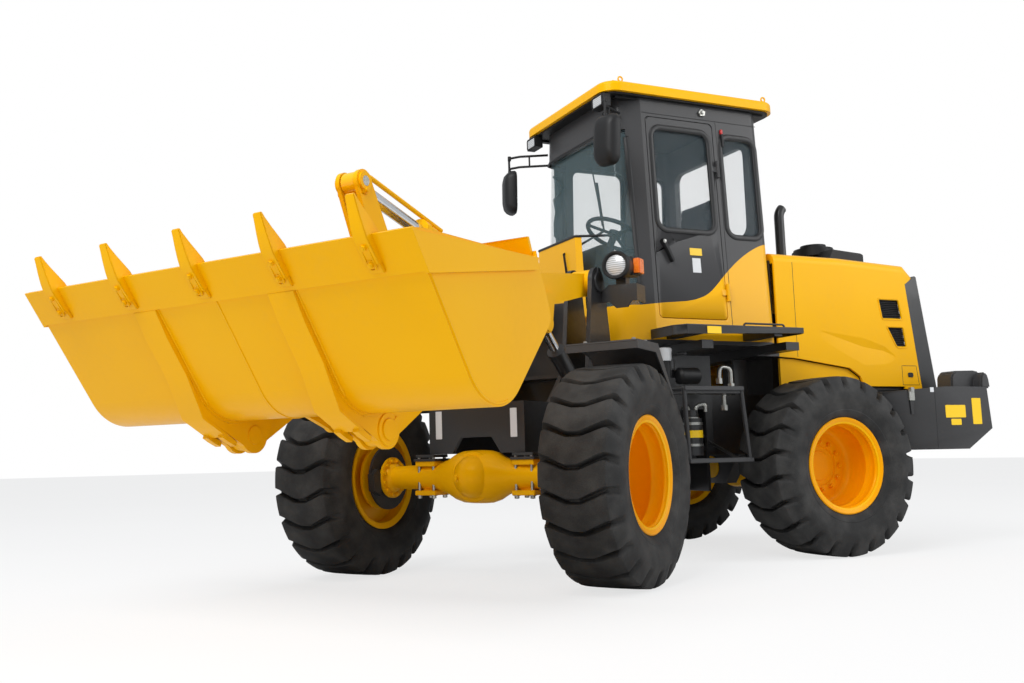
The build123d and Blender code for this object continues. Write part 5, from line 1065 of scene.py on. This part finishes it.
keep("bonnet_latches", latch.both_sides(), plastic, "bonnet", bevel=1.5)
keep("bonnet_skirt", skirt.both_sides(), yellow_paint, "bonnet", bevel=0.8)
keep("corner_strip_feet", strip.both_sides(), black_paint, "bonnet", bevel=0.8)

# ---- counterweight ------------------------------------------------------------------------
# One iron casting, filled and sprayed grey. Its flat shoulders run back from the bonnet and end in a rounded
# roll at each rear corner; the side cheeks show a joint line and carry blank plates.
CHEEK_Y = 870
SHOULDER_Z = 1021
block = new_object("counterweight_block", Shape("counterweight").mesh("counterweight_casting"))
deck = Shape().slab(-2760, -1500, -905, 905, SHOULDER_Z, 1300)
cutter = new_object("deck_cutter", deck.mesh("deck_cutter"))
cut = block.modifiers.new("cut", "BOOLEAN")
cut.operation = "DIFFERENCE"
cut.solver = "EXACT"
cut.object = cutter
casting = Shape()
casting.bm.from_mesh(worked_out(block))
bpy.data.objects.remove(cutter)
bpy.data.objects.remove(block)
bmesh.ops.dissolve_limit(casting.bm, angle_limit=radians(1), verts=casting.bm.verts, edges=casting.bm.edges)
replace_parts(keep("counterweight_casting", casting, grey_paint, "chassis", bevel=5.0), "counterweight")
rolls = Shape().prism([(-2352, 1012), (-2358, 1088), (-2374, 1116), (-2404, 1130), (-2560, 1134),
                       (-2600, 1128), (-2628, 1108), (-2640, 1072), (-2644, 1012)], 680, 806)
rolls.prism([(-2545, 1012), (-2549, 1062), (-2559, 1098), (-2577, 1118), (-2597, 1117), (-2614, 1102),
             (-2624, 1070), (-2632, 1012)], 770, 868)
rolls.both_sides().slab(-2480, -1880, -500, 500, 1010, 1050)
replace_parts(keep("counterweight_rolls", rolls, grey_paint, "chassis", bevel=13.0), "counterweight")
joint_lines = Shape()
for hand in (1, -1):
    joint_lines.sweep([(-2114, hand * (CHEEK_Y + 0.2), 626), (-2120, hand * (CHEEK_Y + 0.2), 1018)],
                      [(-2, -1), (2, -1), (2, 0.6), (-2, 0.6)], up=(0, hand, 0))
keep("counterweight_joint_lines", joint_lines, plastic, "chassis")
cheek_plates = Shape()
for box in ((-2379, -2201, 820, 901), (-2335, -2245, 772, 812), (-2521, -2440, 776, 946)):
    cheek_plates.plate(*box, 6, CHEEK_Y, CHEEK_Y + 1.6)
keep("counterweight_plates", cheek_plates.both_sides(), plate_paint, "chassis", bevel=0.4)
keep("counterweight_small_plate", Shape().plate(-2112, -2080, 984, 1014, 3, CHEEK_Y, CHEEK_Y + 1.2),
     white_paint, "chassis", bevel=0.3)
hasps = Shape().slab(-1932, -1884, 868, 884, 930, 998).slab(-1924, -1892, 868, 892, 985, 1012).both_sides()
keep("side_hasps", hasps, zinc, "chassis", bevel=3.0)
hasp_straps = Shape().prism([(-1926, 930), (-1890, 930), (-1894, 842), (-1920, 842)], CHEEK_Y, CHEEK_Y + 10)
keep("hasp_straps", hasp_straps.both_sides(), seal_rubber, "chassis", bevel=2.0)

# ---- headlamps ----------------------------------------------------------------------------
# Round lamps stand on brackets beside the towers, each with a fluted lens in a black ring and an amber
# turn lamp at its outer side.
amber = Finish("amber_lens", "plastic", coat_weight=0.8, coat_roughness=0.05)
cell = amber.node("ShaderNodeTexVoronoi", {}, {"Vector": amber.place(), "Scale": 160.0})
amber.feed(base_color=amber.mix(cell, (232, 92, 6), (252, 138, 20)),
           roughness=amber.ramp(cell, 0.2, 0.35, 0.0, 1.0), normal=amber.bump(cell, 0.0008))
LAMP_Y, LAMP_Z = 552, 1702
HOLES_Y, HOLES_Z, HOLES_R = 572, 1545, 17
lamp_glasses, lamp_rings, hole_shade_discs = Shape(), Shape(), Shape()
for hand in (1, -1):
    lamp = (0, hand * LAMP_Y, LAMP_Z)
    lamp_glasses.lathe([(588, 0), (588, 62), (592, 61), (598, 52), (603, 34), (606, 0)], lamp, "X", 48)
    lamp_rings.lathe([(566, 79), (600, 82), (607, 78), (607, 70), (596, 60), (588, 60), (588, 79)], lamp,
                     "X", 48)
    # the brackets' pierced openings are drawn as thin black discs: painted shade for the dark seen through them
    for dy, dz in circle(6, HOLES_R) + [(0, 0)]:
        hole_shade_discs.lathe([(559.5, 0), (559.5, 4.5), (560.6, 4.5), (560.6, 0)],
                    (0, hand * HOLES_Y + dy, HOLES_Z + dz), "X", 14)
turn_lamps = Shape().slab(424, 486, 644, 654, 1662, 1748).slab(488, 497, 618, 652, 1662, 1748).both_sides()
keep("headlamp_lenses", lamp_glasses, lens, "front_half")
keep("headlamp_rings", lamp_rings, plastic, "front_half")
keep("turn_lamp_lenses", turn_lamps, amber, "front_half", bevel=3.0)
keep("bracket_hole_painted_shade", hole_shade_discs, seal_rubber, "front_half")

# ---- front frame, mudguards and axles -----------------------------------------------------
# Bolted joints: guard brackets, tower pins with their lock plates, axle pads and the differential's cover.
# The front axle is a banjo housing with tapered arms, a domed cover and its filler plug.
FRONT_AXLE_X, REAR_AXLE_X, AXLE_Z = 1235, -1260, 537.5
AXLE_MIDDLE = (FRONT_AXLE_X, 0, AXLE_Z)
TOWER_Y = 440
caps = Shape()
for x, z, r in ((595, 1617, 58), (380, 700, 46)):
    caps.lathe([(0, 0), (0, r), (9, r), (12, r - 3), (12, 0)], (x, TOWER_Y, z), steps=40)
    caps.prism([(x - 14, z + r - 14), (x + 14, z + r - 14), (x + 14, z + r + 24), (x - 14, z + r + 24)],
               TOWER_Y, TOWER_Y + 10)
keep("tower_pin_caps", caps.both_sides(), black_paint, "front_half", bevel=1.0)
for name, body, axle_x, flange_y, ring_r in (("front_axle_bolts", "front_half", FRONT_AXLE_X, 556, 94),
                                             ("rear_axle_bolts", "chassis", REAR_AXLE_X, 609, 106)):
    bolts(name, [((axle_x + dx, hand * flange_y, AXLE_Z + dz), (0, -hand, 0))
                 for hand in (1, -1) for dx, dz in circle(12, ring_r, 0.5)], 17, yellow_paint, body)
# half the housing's rows: y, then half its height and half its depth
arm_rows = [(609, 62, 62), (560, 62, 62), (380, 66, 66), (300, 70, 70), (230, 76, 76), (175, 96, 86),
            (130, 122, 98), (85, 136, 108), (40, 139, 112)]
housing = Shape().skin([[(FRONT_AXLE_X + deep * a, y, AXLE_Z + tall * b) for a, b in circle(40)]
                        for y, tall, deep in arm_rows + [(0, 139.5, 113)]
                        + [(-y, tall, deep) for y, tall, deep in arm_rows[::-1]]])
for way, reach in ((1, 150), (-1, 118)):
    housing.lathe([(way * d, r) for d, r in ((40, 0), (40, 132), (66, 132), (70, 128), (70, 112), (100, 100),
                                             (124, 78), (141, 50), (reach, 24), (reach, 0))],
                  AXLE_MIDDLE, "X", 56)
plug_middle = (0, -52, AXLE_Z - 6)
plug = Shape().lathe([(1350, 0), (1350, 26), (1374, 24), (1378, 18), (1378, 0)], plug_middle, "X", 28)
plug.lathe([(1374, 0), (1374, 11), (1390, 11), (1390, 0)], plug_middle, "X", 6)
pads, studs, brakes, rolled_edges, lifting_plates = Shape(), Shape(), Shape(), Shape(), Shape()
stud_spots, guard_spots = [], []
for hand in (1, -1):
    for profile in ([(609, 0), (609, 120), (639, 120), (639, 0)],
                    [(530, 60), (544, 76), (556, 80), (556, 112), (574, 112), (574, 60)]):
        housing.lathe([(hand * y, r) for y, r in profile], AXLE_MIDDLE, steps=56)
    # the seats over and under the arm with the block between them, then the frame's two plates
    for shape, half_x, y0, y1, low, top in (
            (housing, 68, 236, 364, 58, 86), (housing, 72, 234, 366, -96, -70),
            (housing, 35, 262, 338, -74, 62), (pads, 75, 230, 370, 86, 100), (pads, 69, 240, 360, 106, 122)):
        shape.slab(FRONT_AXLE_X - half_x, FRONT_AXLE_X + half_x, *sorted((hand * y0, hand * y1)),
                   AXLE_Z + low, AXLE_Z + top)
    for x in (FRONT_AXLE_X - 54, FRONT_AXLE_X + 54):
        for y in (254, 346):
            studs.lathe([(-104, 0), (-104, 9), (106, 9), (106, 0)], (x, hand * y, AXLE_Z), "Z", 16)
            stud_spots.append(((x, hand * y, AXLE_Z - 95), (0, 0, -1)))
    brakes.lathe([(hand * y, r) for y, r in ((588, 70), (588, 176), (604, 176), (604, 70), (588, 70))],
                 AXLE_MIDDLE, steps=64)
    brakes.prism([(1340, 440), (1405, 470), (1412, 560), (1372, 590), (1340, 560)],
                 *sorted((hand * 566, hand * 607)))
    lifting_plates.plate(hand * 232 - 20, hand * 232 + 20, 740, 890, 4, 1260.2, 1261.8, "X")
    guard_spots += [((x, hand * y, 1191), (0, 0, 1)) for x in (1080, 1230) for y in (640, 900)]
    rolled_edges.pipe([(1290, hand * 566, 1183), (1290, hand * 940, 1183)], 5, 20, 10)
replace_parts(keep("front_axle_housing", housing, yellow_paint, "front_half", bevel=3.0, sharp=50),
            "front_axle")
keep("axle_filler_plug", plug, yellow_paint, "front_half", bevel=0.8)
keep("axle_seat_plates", pads, grey_paint, "front_half", bevel=1.5)
keep("axle_studs", studs, zinc, "front_half")
bolts("axle_stud_nuts", stud_spots, 22, zinc, "front_half")
keep("front_brake_discs", brakes, cast_iron, "front_half", bevel=2.0)
keep("lifting_point_plates", lifting_plates, white_paint, "front_half", bevel=0.4)
bolts("mudguard_bolts", guard_spots, 17, zinc, "front_half")
keep("mudguard_rolled_edges", rolled_edges, black_paint, "front_half")

# ---- cylinder rods ------------------------------------------------------------------------
# The shafts are ground and chromed; the forged eyes at their ends are painted with the arms. The lifting
# cylinders are black all over, as the frame is.
TILT_EYE_X, TILT_EYE_Z = 2280, 1900


def rod_finish(name, eye, tone, reach):
    """Chrome along the shaft, paint on the eye at its end."""
    finish = Finish(name, "chrome")
    off = [axis - middle for axis, middle in zip(finish.axes(), FRONT @ Vector(eye))]
    shaft = (off[0] * off[0] + off[1] * off[1] + off[2] * off[2]) > reach * reach
    brushed = finish.noise(180.0, 3.0)
    steel = finish.mix(brushed, (206, 208, 210), (228, 229, 230))
    return finish.feed(base_color=finish.mix(shaft, tone, steel), metallic=shaft * 1.0,
                       roughness=finish.ramp(brushed, 0.12, 0.26), normal=finish.bump(brushed, 0.00005))


dress("tilt_rod", rod_finish("tilt_rod_chrome", (TILT_EYE_X, 0, TILT_EYE_Z), YELLOW, 0.085))
for hand, side in ((1, "left"), (-1, "right")):
    dress("lift_barrel_" + side, black_paint)
    dress("lift_rod_" + side,
          rod_finish("lift_rod_chrome_" + side, (1160, hand * 357, 1330), CHARCOAL, 0.075))

# ---- platforms and steps ------------------------------------------------------------------
# Folded plate treads beside the cab, skirted on three sides and pressed with an anti-slip pattern, on two
# brackets each. The steps are tube with flat treads.
tread_plate = Finish("anti_slip_plate", "black_paint", specular_ior_level=0.4)
pattern = tread_plate.node("ShaderNodeTexVoronoi", {}, {"Vector": tread_plate.place(), "Scale": 34.0})
grime = tread_plate.noise(7.0, 4.0)
tread_plate.feed(base_color=tread_plate.mix(grime, (52, 52, 53), (78, 77, 75)),
                 roughness=tread_plate.ramp(grime, 0.42, 0.6), normal=tread_plate.bump(pattern, 0.0012))
plan = [(-1130, 576), (-182, 576), (-182, 790), (-232, 870), (-1080, 870), (-1130, 800)]
DECK_Z = 1362
treads, skirts = Shape().prism(plan, DECK_Z, DECK_Z + 8, "Z"), Shape()
for start, end in zip(plan[1:], plan[2:] + plan[:1]):
    start, end = Vector(start), Vector(end)
    inward = (end - start).normalized().orthogonal() * 7
    rings = []
    for corner in (start, end):
        foot = 1312 + 28 * max(0.0, (-corner.x - 830) / 300)
        inner = corner + inward
        rings.append([(*corner, foot), (*inner, foot), (*inner, DECK_Z + 1), (*corner, DECK_Z + 1)])
    skirts.skin(rings, caps_last=True)
for x in (-330, -900):
    skirts.slab(x - 30, x + 30, 560, 852, 1316, DECK_Z + 1)
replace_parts(keep("platform_treads", treads.both_sides(), tread_plate, "chassis", bevel=1.5), "platforms")
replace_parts(keep("platform_skirts", skirts.both_sides(), black_paint, "chassis", bevel=1.0), "platforms")
toe_bars = Shape().pipe([(x, 862, z) for x, z in ((-640, 1372), (-650, 1384), (-930, 1384), (-940, 1372))],
                        6, 14, 10)
keep("platform_toe_bars", toe_bars.both_sides(), black_paint, "chassis")
keep("platform_plate", Shape().plate(-469, -370, 1318, 1360, 4, 870, 871.2), plate_paint, "chassis",
     bevel=0.3)
step_bars = Shape().slab(-608, -192, 826, 872, 988, 1013).slab(-652, -204, 826, 872, 576, 600).both_sides()
keep("step_treads", step_bars, grey_paint, "chassis", bevel=3.0)

# ---- gear under the cab -------------------------------------------------------------------
# Behind the steps hang the air drier with its bands, the brake fluid reservoir on its valve, a black
# accumulator and the bright elbows of the hydraulic pipes.
DRIER = (-470, 540, 0)
VALVE = (-232, 636, 0)
keep("drier_band_yellow", Shape().lathe([(724, 62.2), (724, 63.6), (792, 63.6), (792, 62.2)], DRIER, "Z", 40),
     plate_paint, "chassis")
drier_clamps = Shape().lathe([(838, 0), (838, 48), (846, 48), (850, 40), (850, 0)], DRIER, "Z", 36)
for z in (672, 800):
    drier_clamps.lathe([(z, 62), (z, 65.5), (z + 16, 65.5), (z + 16, 62)], DRIER, "Z", 40)
keep("drier_clamps", drier_clamps, zinc, "chassis", bevel=0.8)
elbows = Shape()
for points in ([(-500, 545, 850), (-500, 545, 915), (-560, 560, 930), (-560, 560, 880)],
               [(-446, 545, 850), (-446, 545, 905), (-400, 560, 905)],
               [(-700, 640, 1030), (-700, 640, 1140), (-620, 640, 1150), (-612, 640, 1060)],
               [(-640, 640, 900), (-640, 640, 985), (-690, 640, 985)]):
    elbows.pipe(points, 13, 34, 14)
for point in ((-700, 640, 1030), (-612, 640, 1060), (-640, 640, 900)):
    elbows.lathe([(-16, 0), (-16, 20), (16, 20), (16, 0)], point, "Z", 6)
keep("hydraulic_elbows", elbows, zinc, "chassis")
tank = Shape().lathe([(-470, 0), (-470, 34), (-456, 50), (-330, 50), (-316, 34), (-316, 0)],
                     (0, 630, 1090), "X", 36)
tank.lathe([(1070, 0), (1070, 30), (1174, 30), (1180, 24), (1180, 0)], VALVE, "Z", 30)
tank.slab(-272, -196, 596, 676, 1010, 1074)
keep("accumulator_and_valve", tank, plastic, "chassis", bevel=2.0)
reservoir = Shape().lathe([(1176, 0), (1176, 34), (1182, 38), (1232, 40), (1236, 42), (1250, 42), (1254, 36),
                           (1254, 0)], VALVE, "Z", 36)
keep("brake_fluid_reservoir", reservoir, white_paint, "chassis")

# ---- arm pins and bucket leveller ---------------------------------------------------------
# Each pin is kept by a plate bolted beside its head. The leveller's bar is held at the tilt rod's eye and
# slides over the barrel.
heads, keepers, keeper_spots = Shape(), Shape(), []
for x, z, y, r in ((TILT_EYE_X, TILT_EYE_Z, 63, 26), (2026, 1412, 94, 30)):
    for hand in (1, -1):
        profile = ((y - 8, 0), (y - 8, r), (y + 9, r), (y + 12, r - 3), (y + 12, 0))
        heads.lathe([(hand * a, b) for a, b in profile], (x, 0, z), steps=36)
        keepers.prism([(x - 18, z - r - 34), (x + 18, z - r - 34), (x + 18, z + 4), (x - 18, z + 4)],
                      *sorted((hand * (y - 1), hand * (y + 6))))
        keeper_spots.append(((x, hand * (y + 6), z - r - 18), (0, hand, 0)))
keep("rocker_pin_heads", heads, zinc, "rocker", bevel=0.8)
keep("rocker_pin_keepers", keepers, yellow_paint, "rocker", bevel=2.0)
bolts("rocker_keeper_bolts", keeper_spots, 20, yellow_paint, "rocker")
TILT_FOOT = Vector((620, 0, 1490))
rod_way = Vector((1660, 0, 410)).normalized()
over = Vector((-rod_way.z, 0, rod_way.x)) * 84
bar = [TILT_FOOT + rod_way * length + over * share for length, share in
       ((980, 1.0), (1600, 1.0), (1632, 0.9), (1650, 0.4))]
keep("bucket_leveller", Shape().pipe(bar[:2], 12, 20).pipe(bar[1:], 12, 16), yellow_paint, "tilt_rod")

# ---- lifting rings ------------------------------------------------------------------------
# Four forged rings on the roof carry the cab when it is lifted off. Each stands upright along the machine on
# a round boss.
RING_Y, RING_Z = 512, 2934
rings = Shape()
for x in (-1190, -90):
    for hand in (1, -1):
        rings.sweep([(x + a, hand * RING_Y, RING_Z + b) for a, b in circle(24, 15)], circle(8, 5),
                    closed=True, up=(0, 1, 0))
        rings.lathe([(2908, 0), (2908, 9), (2922, 6), (2922, 0)], (x, hand * RING_Y, 0), "Z", 16)
keep("roof_lifting_rings", rings, yellow_paint, "chassis")
